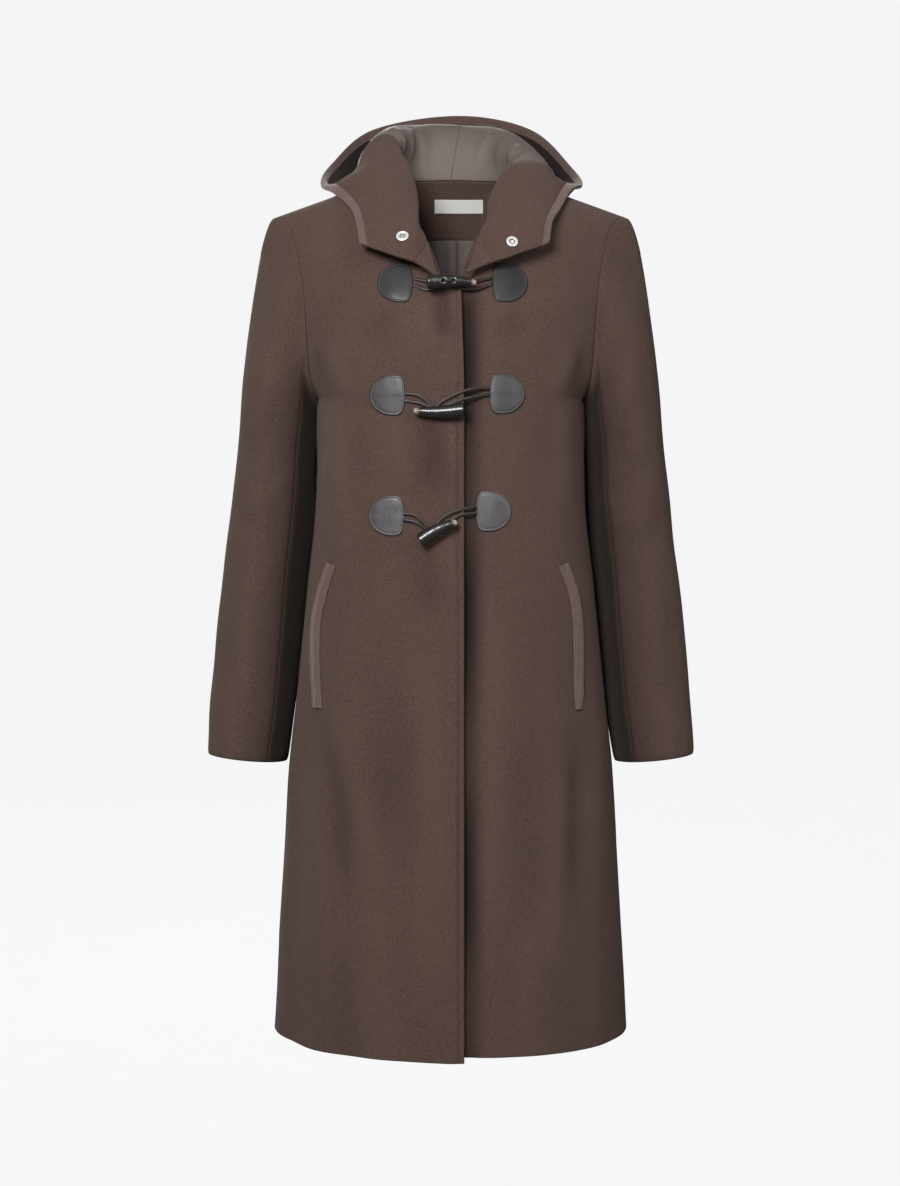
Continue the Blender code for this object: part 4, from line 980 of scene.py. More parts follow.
def make_back_lining():
    """The lining below the neck facing, with a pleat down its middle."""
    u, t = np.meshgrid(
        (2 * spread(110, 0.42) - 1) * 0.60,
        spread(40, 0.19, t_at_height(BACK_LINING_LOW_Z), t_at_height(BACK_FACING_LOW_Z)),
    )
    plain, normals = torso(BACK, u, t), torso_normal(BACK, u, t)
    drop = (plain[..., 2] - BACK_FACING_LOW_Z) / MM
    x = plain[..., 0] / MM
    pleat = 3.0 * MM * bell(x - 4, 5) * np.clip(0.3 - drop / 120, 0, 1) - 0.36 * MM * bell(x + 3.5, 1.6)
    soft = unevenness(plain * np.array([1.6, 1, 0.5]), 0.06, 12) + 1.1
    soft = soft * 0.7 * MM * smooth_step(-drop / 30)
    depth = WOOL_WALL + SEAM_GAP + LINING_WALL + np.maximum(pleat, 0) + soft
    depth = depth - np.minimum(body_relief(BACK, u, t, plain), 0)
    # Painted shade in a dark line down the pleat and a fainter band beside it
    cloth(
        "back_lining_cloth", plain - normals * depth[..., None], -normals, LINING_WALL, "satin",
        "back_lining", edge_round=0.5 * MM, fold_shade=-0.55 * bell(x - 7.5, 1.6) - 0.25 * bell(x + 4, 3),
    )


def make_label():
    """The bare woven label, sewn down at both ends."""
    x, z = np.meshgrid(
        LABEL_X + (spread(34, LABEL_WIDTH) - 0.5) * LABEL_WIDTH,
        LABEL_Z + (spread(12, LABEL_HEIGHT) - 0.5) * LABEL_HEIGHT,
    )
    u, t = locate(functools.partial(torso, BACK), x, z)
    normals = torso_normal(BACK, u, t)
    depth = WOOL_WALL + SEAM_GAP + FACING_WALL + 1.15 * MM
    puff = 0.55 * MM * np.cos((x - LABEL_X) / LABEL_WIDTH * math.pi) * (1 + 0.4 * np.sin(x / 0.009))
    points = torso(BACK, u, t) - normals * (depth + puff)[..., None]
    cloth("neck_label_cloth", points, -normals, LABEL_WALL, "woven", "neck_label", edge_round=0.3 * MM)
    ends = [points[3:-3, j] - normals[3:-3, j] * 0.15 * MM for j in (5, -6)]
    sew("neck_label_stitches", ends, "pale_thread", pitch=1.5 * MM, size=0.8)


def tucked(outer, outward, fold):
    """Turns the first rows of a sleeve under the edge of the armhole, as its seam allowance."""
    onward = unit(outer[0] - outer[3])
    hidden = np.array([outer[0] + onward * run * MM - outward[0] * fall * MM for run, fall in TUCKED_ROWS])
    outer = outer.copy()
    outer[:3] -= outward[:3] * (np.array(ROLLED_ROWS) * MM)[:, None, None]
    return (
        np.concatenate([hidden, outer]),
        np.concatenate([outward[:1]] * 3 + [outward]),
        np.concatenate([fold[:1]] * 3 + [fold]),
    )


def make_sleeves():
    """Upper and under sleeves. The right ones mirror the left, with creases of their own."""
    sizes = bpy.context.scene.coat_sizes
    last = len(SLEEVE_RINGS)
    head = spread(int(0.22 / sizes.cloth_cell), 0.22, 0, 1)[: -len(EDGE_LINES)]
    arm = spread(int(0.42 / sizes.cloth_cell), 0.42, 1, last)[len(EDGE_LINES) :]
    v = np.unique(np.round(np.concatenate([head, arm]), 6))
    front_seam = SLEEVE_SEAM_FRONT - 0.035 * smooth_step(v / 1.8) + 0.015 * smooth_step((v - 3) / 3)
    back_seam = np.full_like(v, SLEEVE_SEAM_BACK)
    table = [(a * SLEEVE_ROUND, b, c * SLEEVE_ROUND, d, *rest) for a, b, c, d, *rest in SLEEVE_CREASES]
    parts = {"upper": (back_seam - 1, front_seam, 0.25), "under": (front_seam, back_seam, 0.125)}
    for piece, (first, final, width) in parts.items():
        share, rows = np.meshgrid(spread(int(width / sizes.cloth_cell), width), v)
        turn = first[:, None] + (final - first)[:, None] * share
        plain, normal = sleeve(np.mod(turn, 1), rows), sleeve_normal(np.mod(turn, 1), rows)
        down = -plain[..., 2] / MM - SHOULDER_TIP_DOWN
        ends = np.minimum(turn - (SLEEVE_SEAM_BACK - 1), SLEEVE_SEAM_BACK - turn)
        calm = smooth_step(rows / 0.25) * smooth_step(ends / 0.03)
        below = SLEEVE_UNDERARM_Z - plain[..., 2]
        inner = 2.4 * MM * bell(turn - 0.5, 0.13) * smooth_step(below / 0.009)
        inner = inner * smooth_step((0.095 - below) / 0.05) * smooth_step(rows / 0.12)
        seam = front_seam[:, None]
        # Painted shade over the under sleeve, in the hollow between sleeve and body
        painted_under_sleeve_shade = smooth_step((turn - seam + 0.015) / 0.03) * smooth_step((0.70 - turn) / 0.08)
        painted_under_sleeve_shade = painted_under_sleeve_shade * smooth_step((rows - 0.15) / 0.5)
        # Painted shade growing towards the front seam over the upper sleeve's inner side
        inward = np.clip((turn - 0.20) / (seam - 0.20), 0, 1) * (turn <= seam + 1e-6)
        inward = 0.55 * inward * smooth_step((rows - 0.05) / 0.9)
        cuff = smooth_step((rows - last + 0.12) / 0.12)
        for side in (RIGHT, LEFT):
            shift_across, shift_down = CREASE_SHIFT[side]
            height = creases(turn * SLEEVE_ROUND + shift_across, down + shift_down, table)
            height = height * sizes.crease_depth * 0.62 + unevenness(plain, 0.08, 21 + side) * 0.6 * MM
            height = height - cuff * 0.5 * MM
            # Painted shade in the creases and painted light on their ridges, with the painted shade above
            fold = np.clip(height / MM / 22, -0.2, 0.15) - painted_under_sleeve_shade - inward
            mirror = np.array([side, 1, 1])
            outer = (plain + normal * (height * calm + inner)[..., None]) * mirror
            outer, outward, fold = tucked(outer, normal * mirror, fold)
            name = SIDE_NAMES[side]
            cloth(
                f"{name}_{piece}_sleeve_cloth", outer, outward, WOOL_WALL, "wool",
                f"sleeve_{piece}_{name}", edge_round=1.3 * MM, fold_shade=fold,
            )


@functools.lru_cache(maxsize=1)
def fine_hood():
    """The hood's middle layer with FINE lines to each line of the solids, and its lining side's direction."""
    coarse, _ = hood_grid()
    sections = np.linspace(0, len(HOOD_SECTIONS) - 1, HOOD_ROWS)
    shift = coarse - np.array([hood_row(a) for a in sections])
    rows = np.linspace(0, HOOD_ROWS - 1, (HOOD_ROWS - 1) * FINE + 1)
    columns = np.linspace(0, shift.shape[1] - 1, (shift.shape[1] - 1) * FINE + 1)
    drawn = np.array([hood_row(a, columns) for a in np.interp(rows, np.arange(HOOD_ROWS), sections)])
    row, column = np.meshgrid(rows, columns, indexing="ij")
    points = drawn + read_smooth(shift, row, column)
    slack = smooth_step((column - 2) / 3) * smooth_step((14 - column) / 2)
    height = hood_folds(row, column, HOOD_CREASES) + slack * unevenness(points, 0.075, 31) * 0.7 * MM
    points = points + grid_way(points) * height[..., None]
    return points, grid_way(points)


def hood_folds(row, column, table):
    """Height of the folds of a table at places on the hood's grid."""
    return creases(column, row, [(c0, r0, c1, r1, 0, half, depth) for r0, c0, r1, c1, half, depth in table])


def grid_way(points):
    """The lining side's direction all over the hood's grid."""
    return unit(np.cross(np.gradient(points, axis=0), np.gradient(points, axis=1)))


def read_smooth(grid, row, column):
    """A grid of values read between its rows and columns, with no kinks at its lines."""
    rows, columns = grid.shape[:2]
    grid = np.concatenate([2 * grid[:1] - grid[1:2], grid, 2 * grid[-1:] - grid[-2:-1]])
    grid = np.concatenate([2 * grid[:, :1] - grid[:, 1:2], grid, 2 * grid[:, -1:] - grid[:, -2:-1]], axis=1)
    i = np.clip(np.floor(row).astype(int), 0, rows - 2)
    j = np.clip(np.floor(column).astype(int), 0, columns - 2)

    def shares(v):
        return (
            -0.5 * v + v**2 - 0.5 * v**3,
            1 - 2.5 * v**2 + 1.5 * v**3,
            0.5 * v + 2 * v**2 - 1.5 * v**3,
            -0.5 * v**2 + 0.5 * v**3,
        )

    total = 0
    for a, down in enumerate(shares(row - i)):
        for b, right in enumerate(shares(column - j)):
            total = total + (down * right)[..., None] * grid[i + a, j + b]
    return total


def on_hood(row, column):
    """The hood's middle layer and its direction at rows and columns of the solids' grid."""
    points, ways = fine_hood()
    both = np.concatenate([points, ways], axis=-1)
    x, y = np.clip(row, 0, HOOD_ROWS - 1) * FINE, np.clip(column, 0, (points.shape[1] - 1) / FINE) * FINE
    i = np.clip(np.floor(x).astype(int), 0, points.shape[0] - 2)
    j = np.clip(np.floor(y).astype(int), 0, points.shape[1] - 2)
    v, w = (x - i)[..., None], (y - j)[..., None]
    read = (1 - v) * ((1 - w) * both[i, j] + w * both[i, j + 1]) + v * (
        (1 - w) * both[i + 1, j] + w * both[i + 1, j + 1]
    )
    return read[..., :3], unit(read[..., 3:])


def facing_seam(side, column):
    """Row of the seam between hood facing and lining at each column, on one half of the hood."""
    table = np.array(FACING_SEAM)
    return interpolate(table[:, 0], table[:, 1 if side == RIGHT else 2], column)


def make_hood():
    """Wool shell, wool facing and satin lining of both halves of the hood."""
    middle = HOOD_ROWS // 2
    half = SEAM_GAP / 2
    columns = np.concatenate([
        spread(96, 0.40, 0, STRIP)[:-4],
        [STRIP - 0.03, STRIP - 0.012, STRIP, STRIP + 0.03, STRIP + 0.08],
        np.linspace(STRIP + 0.15, BOUND - 0.15, 6),
        [BOUND - 0.06, BOUND - 0.03, BOUND],
    ])
    at_strip = int(np.argmin(np.abs(columns - STRIP)))
    for side, throat in THROATS.items():
        name = SIDE_NAMES[side]
        rows = throat + (middle - throat) * spread(130, 0.38)
        row, column = np.meshgrid(rows, columns, indexing="ij")
        plain, way = on_hood(row, column)
        wobble = 1.0 * MM * bell(column - 13.4, 0.3) * np.sin(row * 5)
        outer = plain - way * (half + WOOL_WALL + 0.25 * wobble)[..., None]
        cloth(f"{name}_hood_cloth", outer, -way, WOOL_WALL, "wool", f"hood_{name}", edge_round=1.2 * MM)
        seam = facing_seam(side, columns)
        near = throat + (seam - throat)[None, :] * spread(46, 0.12)[:, None]
        far = seam[None, :] + (middle - seam)[None, :] * spread(90, 0.26)[:, None]
        row = np.concatenate([near, far[1:]])
        column = np.broadcast_to(columns, row.shape)
        plain, way = on_hood(row, column)
        cell_row, cell_column = np.indices((row.shape[0] - 1, row.shape[1] - 1))
        faced = (cell_row < len(near) - 1) | (cell_column >= at_strip)
        inside = smooth_step(np.abs(row - seam) / 0.5) * smooth_step((STRIP - column) / 1.2)
        inside = inside * smooth_step(column / 0.5)
        folds = np.maximum(hood_folds(row, column, LINING_CREASES), 0)
        folds = folds + (unevenness(plain, 0.045, 41) + 1.0) * 0.5 * MM
        at_lining = np.abs(row - throat) > np.abs(seam - throat)
        lip = 1.1 * MM * bell(row - seam, 0.22) * ~at_lining * smooth_step((STRIP - column) / 0.5)
        height = half + LINING_WALL + np.where(at_lining, folds * inside, 0) + lip
        top = plain + way * height[..., None]
        # Painted shade deep in the hood's pouch, on facing and lining behind the lining's crest
        pouch = -smooth_step((column - 7.5) / 2) * smooth_step((np.abs(row - throat) - 5.6) / 1.6)
        order = slice(None) if side == RIGHT else slice(None, None, -1)
        for kind, finish, cells in (("facing", "wool", faced), ("lining", "satin", ~faced)):
            cloth(
                f"{name}_hood_{kind}_cloth", top[order], way[order], LINING_WALL, finish,
                f"hood_{kind}_{name}", edge_round=0.6 * MM, cells=cells[order], fold_shade=pouch[order],
            )
        sew_hood(side, name, throat, middle)


def sew_hood(side, name, throat, middle):
    """Stitching along the facing's seam, beside the binding and along the throat's edge."""
    toward = -side
    column = np.linspace(0.5, 13.0, 140)
    height = SEWN_LINING + STITCH_HEIGHT
    lines = (
        (facing_seam(side, column) - toward * 0.42, column),
        (throat + (middle - throat) * np.linspace(0.02, 1, 220), np.full(220, 13.35)),
        (np.full(90, throat + toward * 0.34), np.linspace(0.4, 13.6, 90)),
    )
    sew(f"{name}_hood_stitches", [sewn_on_hood(*line, height) for line in lines], "thread")


def sewn_on_hood(row, column, height):
    """A line of sewing on the hood's lining side, height above its middle layer."""
    points, way = on_hood(row, column)
    return points + way * (height + 0.35 * MM)


def make_binding():
    """The soft band folded over the rim of the hood, stitched near its inner edge."""
    rows = np.linspace(0, HOOD_ROWS - 1, 420)
    across = np.concatenate([[0], np.linspace(0, 1, 8)])
    top = SEWN_LINING + BINDING_PROUD
    under = SEAM_GAP / 2 + WOOL_WALL + BINDING_PROUD
    row, share = np.meshgrid(rows, across, indexing="ij")
    plain, way = on_hood(row, BOUND + share * 0.96)
    crown = np.sin(math.pi * np.clip(share, 0, 1)) * 0.7 * MM
    pucker = (unevenness(plain, 0.013, 51) * 0.28 + unevenness(plain, 0.045, 52) * 0.3) * MM
    height = top + crown + pucker - 0.5 * MM * bell(share - BINDING_STITCH, 0.08)
    height[:, 0] = SEAM_GAP / 2 + LINING_WALL * 0.4
    upper = plain + way * height[..., None]
    depth = under + crown * 0.7 + pucker * 0.5
    depth[:, 0] = SEAM_GAP / 2 + WOOL_WALL * 0.6
    lower = plain - way * depth[..., None]
    rim, _ = on_hood(rows, np.full(len(rows), BOUND + 1.0))
    onward = unit(rim - on_hood(rows, np.full(len(rows), BOUND + 0.6))[0])
    middle, reach = (top - under) / 2, (top + under) / 2
    bulge = [
        plain[:, -1] + way[:, -1] * (middle + reach * math.cos(a)) + onward * (reach * 0.55 * math.sin(a))
        for a in np.linspace(0, math.pi, 7)[1:-1]
    ]
    ring = np.concatenate([upper, np.stack(bulge, axis=1), lower[:, ::-1]], axis=1)
    size = ring.shape[1]
    obj = tube("hood_binding_cloth", ring, "suede", laid_flat(np.arange(size) * 2.4 * MM, rows * 0.04))
    # Painted shade on the binding along the top of the rim, away from the throats
    from_throat = np.minimum(rows, HOOD_ROWS - 1 - rows)
    set_painted_shade(obj, np.repeat(-0.42 * smooth_step((from_throat - 6.0) / 2.5), size))
    attach(obj, "hood_binding")
    line = sewn_on_hood(rows[4:-4], np.full(len(rows) - 8, BOUND + BINDING_STITCH), top)
    sew("hood_binding_stitches", [line], "suede_thread", pitch=3.2 * MM)


def make_front_facings():
    """The turned-back corner of each front, from the lap up to the seam with the hood."""
    for side, throat in THROATS.items():
        name = SIDE_NAMES[side]
        low_u, high_u = ROLL_U
        w = spread(26, 0.035)
        s = spread(30, 0.045)
        seam, seam_way = on_hood(throat - side * 2 * w, np.zeros(len(w)))
        roll = torso(FRONT, (low_u + (high_u - low_u) * s) * side, np.full(len(s), 2.0))
        roll = roll + (seam[-1] - torso(FRONT, high_u * side, 2.0))
        start = roll[0]
        outer_edge = start + (seam[0] - start) * s[:, None]
        down, across = s[:, None, None], w[None, :, None]
        lift = (seam - ((1 - w)[:, None] * seam[0] + w[:, None] * seam[-1]))[None] * down
        grid = (1 - across) * outer_edge[:, None] + across * roll[:, None] + lift
        grid += (seam[0] - seam[-1]) * (0.08 * (1 - across) * (1 - down) ** 2)
        way = unit(np.cross(np.gradient(grid, axis=0), np.gradient(grid, axis=1)) + 1e-9)
        way = way * np.where(way[..., 1:2] > 0, -1, 1)
        blend = smooth_step((down - 0.75) / 0.25)
        way = unit(way * (1 - blend) + seam_way[None] * blend)
        way = unit(way + np.roll(way, 1, axis=0) + np.roll(way, -1, axis=0))
        depth = SEAM_GAP / 2 + WOOL_WALL
        outer = clear_of_body(grid, way, depth) + way * SEWN_LINING
        cloth(
            f"{name}_front_facing_cloth", outer, way, SEWN_LINING + depth, "wool",
            f"front_facing_{name}", edge_round=1.2 * MM,
        )
        line = outer[3:-3, 6] + way[3:-3, 6] * STITCH_HEIGHT
        sew(f"{name}_front_facing_stitches", [line], "thread")


def on_front(side, x, z, height=0.0):
    """Points over one front's creased cloth at x and z, raised by height, and the cloth's way there.

    With no side they lie over the lap, as if neither front sank.
    """
    def surface(u, t):
        return torso(FRONT, u, t) if side is None else front_point(side, u, t)

    u, t = locate(surface, x, z)
    point, normal = surface(u, t), torso_normal(FRONT, u, t)
    relief = body_relief(FRONT, u, t, point)
    return point + normal * (relief + np.asarray(height))[..., None], normal


def make_welts():
    """The two pocket welts, stitched down along both long edges."""
    wall = WELT_WALL * 0.72
    for side, line in WELTS.items():
        name = SIDE_NAMES[side]
        line = np.array(line, float) * MM
        last = len(line) - 1
        at = spread(90, WELT_LENGTH) * last
        middle = interpolate(np.arange(len(line)), line, at, curve_slopes)
        way = unit(np.gradient(middle, axis=0))
        across = spread(12, WELT_WIDTH) - 0.5
        taper = 1 - 0.35 * smooth_step((at / last - 0.93) / 0.07) * (side == LEFT)
        reach = across[None] * WELT_WIDTH * taper[:, None]
        x = middle[:, 0:1] + way[:, 1:2] * reach
        z = middle[:, 1:2] - way[:, 0:1] * reach
        crown = 0.9 * MM * (1 - (2 * across[None]) ** 2) ** 2
        pinch = 0.55 * MM * bell(np.abs(reach) - WELT_STITCH, 0.8 * MM)
        points, normal = on_front(side, x, z)
        height = SEWN_ON_GAP + wall + crown - pinch + unevenness(points, 0.016, 61) * 0.22 * MM
        points = points + normal * height[..., None]
        cloth(
            f"{name}_pocket_welt_cloth", points, normal, wall, "suede", f"pocket_welt_{name}",
            edge_round=1.0 * MM,
        )
        paths = []
        for edge in (-WELT_STITCH, WELT_STITCH):
            x = middle[:, 0] + way[:, 1] * edge
            z = middle[:, 1] - way[:, 0] * edge
            paths.append(on_front(side, x, z, SEWN_ON_GAP + wall + STITCH_HEIGHT)[0][3:-3])
        sew(f"{name}_pocket_welt_stitches", paths, "suede_thread")


def patch_outline(side, count=72):
    """A D: nearly straight towards the front edge, round on the other side. Its flat side lies at x = 0."""
    turn = np.linspace(0, 2 * math.pi, count, endpoint=False) + math.pi / count
    round_part, flat_part = 0.62 * PATCH_WIDTH, 0.38 * PATCH_WIDTH
    along = np.cos(turn)
    x = np.where(along < 0, round_part * along, flat_part * np.abs(along) ** 0.4) - flat_part
    return np.stack([x * -side, np.sin(turn) * PATCH_HEIGHT / 2], axis=-1)


def make_patches():
    """Six leather patches, each stitched round just inside its edge."""
    for label, fastening in FASTENINGS.items():
        for side, corner in fastening["patches"].items():
            corner = np.array(corner) * MM
            outline = patch_outline(side)
            centre = outline.mean(axis=0)

            def over_front(ring, height, side=side, corner=corner):
                x, z = (ring + corner).T
                return on_front(side, x, z, SEWN_ON_GAP * 0.5 + np.asarray(height))[0]

            inset = [centre + (outline - centre) * share for share in (0.98, *(s for s, _ in PATCH_PROFILE))]
            rings = [over_front(inset[0], np.zeros(len(outline)))]
            for ring, (share, high) in zip(inset[1:], PATCH_PROFILE):
                uneven = unevenness(np.pad(ring + corner, ((0, 0), (0, 1))), 0.02, 71) * 0.12 * MM
                rings.append(over_front(ring, PATCH_WALL * high + uneven * (share < 0.95)))
            peak = over_front(centre[None], np.array([PATCH_WALL * 1.27]))
            name = f"{SIDE_NAMES[side]}_{label}_patch"
            flat = np.concatenate([*inset, centre[None]])
            obj = tube(name, np.array(rings), "leather", flat, peak)
            # Painted shade on the top patches and painted light on the low ones
            set_painted_shade(obj, np.full(len(obj.data.vertices), PATCH_PAINTED_LIGHT_AND_DULLING[label]))
            attach(obj, f"patch_{label}_{SIDE_NAMES[side]}")
            seam = centre + (np.concatenate([outline, outline[:1]]) - centre) * 0.885
            path = over_front(seam, np.full(len(seam), PATCH_WALL * 0.66 + 0.2 * MM))
            sew(f"{name}_stitches", [path], "leather_thread", pitch=2.6 * MM, size=0.9)


def over_lap(points):
    """Points over the lap from x, z and height in millimetres, and the cloth's direction there."""
    x, z, height = np.moveaxis(np.array(points, float) * MM, -1, 0)
    return on_front(None, x, z, height)


def smooth_path(path, count):
    """The path redrawn as a smooth curve of count points."""
    knots = run_length(path, power=0.5)
    return interpolate(knots, path, np.linspace(0, knots[-1], count), curve_slopes)


def strand(name, path, up, node=None, half_width=1.6 * MM, half_height=0.65 * MM):
    """A flat leather strand with rounded edges along a path, lying on the side named by up."""
    along = unit(np.gradient(path, axis=0))
    side_way = unit(np.cross(along, up))
    lift = np.cross(side_way, along)
    turn = np.linspace(0, 2 * math.pi, 14, endpoint=False)
    across, high = np.cos(turn), np.sin(turn)
    flat = np.sign(across) * np.abs(across) ** 0.7 * half_width
    thick = np.sign(high) * np.abs(high) ** 0.6 * half_height
    ring = path[:, None] + side_way[:, None] * flat[None, :, None] + lift[:, None] * thick[None, :, None]
    obj = tube(name, ring, "strap", laid_flat(np.arange(len(turn)) / len(turn), run_length(path)))
    attach(obj, node)


def make_strands():
    """Toggle cords on the lapping front and loops on the other."""
    for label, fastening in FASTENINGS.items():
        for kind, inward in (("cord", -1.0), ("loop", 1.0)):
            route = np.array(fastening[kind], float)
            route[[0, -1], 0] += inward * 2.2
            route[[0, -1], 2] = 1.6
            path, normal = over_lap(route)
            strand(
                f"{label}_{kind}_strand", smooth_path(path, 90), unit(smooth_path(normal, 90)),
                f"{kind}_{label}",
            )


def make_toggles():
    """Three horn toggles: cut flat at the thick end, tapering in a slight curve to a pale tip.

    The top one has two holes in front, with a tie between them.
    """
    table = np.array(TOGGLE_SHAPE)
    share = np.unique(np.concatenate([table[:, 0], np.linspace(0, 1, 50)]))
    radius, flat = interpolate(table[:, 0], table[:, 1:], share).T
    turn = np.linspace(0, 2 * math.pi, 32, endpoint=False)
    first, second = TOGGLE_HOLES
    for label, fastening in FASTENINGS.items():
        (start, stop), _ = over_lap(fastening["toggle"])
        axis = unit(stop - start)
        side_way = unit(np.cross(axis, [0.0, 1.0, 0.0]))
        up_way = np.cross(axis, side_way)
        bend = TOGGLE_BEND * np.sin(math.pi * share)
        centre = start + (stop - start) * share[:, None] + side_way * bend[:, None]
        ripple = 1 + 0.012 * np.sin(share[:, None] * 31 + 2 * np.sin(turn)[None])
        wide = radius[:, None] * ripple * np.cos(turn)[None] * MM
        high = radius[:, None] * ripple * flat[:, None] * np.sin(turn)[None] * MM
        if label == "top":
            for hole in TOGGLE_HOLES:
                off = np.hypot((share[:, None] - hole) * np.linalg.norm(stop - start), wide)
                high = high - np.where(high > 0, 2.4 * MM * np.exp(-((off / (2.3 * MM)) ** 4)), 0)
        ring = centre[:, None] + wide[..., None] * side_way + high[..., None] * up_way
        obj = tube(f"{label}_toggle_horn", ring, "horn", laid_flat(np.arange(len(turn)) / len(turn), share))
        attach(obj, f"toggle_{label}")
        if label == "top":
            along = np.linspace(first, second, 25)
            spot = start + (stop - start) * along[:, None] + side_way * TOGGLE_BEND
            rise = 5.2 + 2.6 * np.sin(math.pi * (along - first) / (second - first)).clip(0) ** 0.6
            tie = spot + up_way * (rise * MM)[:, None]
            strand("top_toggle_tie", tie, np.tile(up_way, (len(along), 1)), half_width=1.3 * MM)


def make_snaps():
    """The two halves of the press stud on the hood's facing."""
    turn = np.linspace(0, 2 * math.pi, 40, endpoint=False)
    for side, (x, z) in SNAPS.items():
        rows = THROATS[side] - side * np.linspace(0, 5, 101)
        row, column = np.meshgrid(rows, np.linspace(0, 14, 281), indexing="ij")
        spots, ways = on_hood(row, column)
        miss = np.hypot(spots[..., 0] - x * MM, spots[..., 2] - z * MM)
        found = np.unravel_index(np.argmin(miss + (ways[..., 1] > -0.2)), miss.shape)
        normal = ways[found]
        across = unit(np.cross(normal, [0.0, 0.0, 1.0]))
        upward = np.cross(across, normal)
        circle = np.cos(turn)[:, None] * across + np.sin(turn)[:, None] * upward
        base = spots[found] + normal * (SEWN_LINING + 0.3 * MM)
        rings = [base + circle * radius * MM + normal * high * MM for radius, high in SNAP_PROFILES[side]]
        obj = tube(f"{SIDE_NAMES[side]}_snap_metal", np.array(rings), "nickel")
        # Painted shade in the middle hollow of each half and in a ring round it
        dark = np.zeros((len(rings), len(turn)))
        middle, depth = SNAP_PAINTED_SHADE[side]
        dark[-middle:] = depth
        dark[5:7] -= 0.25
        set_painted_shade(obj, dark.ravel())
        attach(obj, f"snap_{SIDE_NAMES[side]}")


def stitch_tree():
    """Geometry nodes that lay a row of stitches along every curve they are given."""
    found = bpy.data.node_groups.get("row_of_stitches")
    if found:
        return found
    tree = bpy.data.node_groups.new("row_of_stitches", "GeometryNodeTree")
    for label, way, kind in (
        ("Seams", "INPUT", "Geometry"),
        ("Pitch", "INPUT", "Float"),
        ("Stitch Length", "INPUT", "Float"),
        ("Thread Width", "INPUT", "Float"),
        ("Thread", "INPUT", "Material"),
        ("Stitches", "OUTPUT", "Geometry"),
    ):
        tree.interface.new_socket(label, in_out=way, socket_type=f"NodeSocket{kind}")
    new, link = tree.nodes.new, tree.links.new
    given, result = new("NodeGroupInput").outputs, new("NodeGroupOutput").inputs
    spots = new("GeometryNodeCurveToPoints")
    spots.mode = "LENGTH"
    link(given["Seams"], spots.inputs["Curve"])
    link(given["Pitch"], spots.inputs["Length"])
    bead = new("GeometryNodeMeshUVSphere")
    for label, value in (("Segments", 6), ("Rings", 4), ("Radius", 0.5)):
        bead.inputs[label].default_value = value
    size = new("ShaderNodeCombineXYZ")
    for label, source in (("X", "Thread Width"), ("Y", "Thread Width"), ("Z", "Stitch Length")):
        link(given[source], size.inputs[label])
    lay = new("FunctionNodeAlignRotationToVector")
    lay.axis = "Z"
    link(spots.outputs["Tangent"], lay.inputs["Vector"])
    place = new("GeometryNodeInstanceOnPoints")
    link(spots.outputs["Points"], place.inputs["Points"])
    link(bead.outputs["Mesh"], place.inputs["Instance"])
    link(lay.outputs["Rotation"], place.inputs["Rotation"])
    link(size.outputs["Vector"], place.inputs["Scale"])
    real = new("GeometryNodeRealizeInstances")
    link(place.outputs["Instances"], real.inputs["Geometry"])
    smooth = new("GeometryNodeSetShadeSmooth")
    link(real.outputs["Geometry"], smooth.inputs["Geometry"])
    paint = new("GeometryNodeSetMaterial")
    link(smooth.outputs["Geometry"], paint.inputs["Geometry"])
    link(given["Thread"], paint.inputs["Material"])
    link(paint.outputs["Geometry"], result["Stitches"])
    return tree


def sew(name, paths, thread, pitch=None, size=1.0):
    """A row of stitches along each path, as one mesh."""
    sizes = bpy.context.scene.coat_sizes
    pitch = pitch or sizes.stitch_pitch
    line = bpy.data.curves.new(name, "CURVE")
    line.dimensions = "3D"
    for path in paths:
        spline = line.splines.new("POLY")
        spline.points.add(len(path) - 1)
        spline.points.foreach_set("co", np.pad(path, ((0, 0), (0, 1)), constant_values=1).ravel())
    guide = link_object(f"{name}_guide", line)
    rows = guide.modifiers.new("rows", "NODES")
    rows.node_group = stitch_tree()
    given = {
        "Pitch": pitch,
        "Stitch Length": pitch * STITCH_SHARE,
        "Thread Width": sizes.thread_width * size,
        "Thread": finish_of(thread),
    }
    for item in rows.node_group.interface.items_tree:
        if item.in_out == "INPUT" and item.name in given:
            rows[item.identifier] = given[item.name]
    graph = bpy.context.evaluated_depsgraph_get()
    mesh = bpy.data.meshes.new_from_object(guide.evaluated_get(graph))
    mesh.name = name
    bpy.data.objects.remove(guide, do_unlink=True)
    bpy.data.curves.remove(line)
    made = link_object(name, mesh)
    if not mesh.materials:
        mesh.materials.append(finish_of(thread))
    attach(made, None)


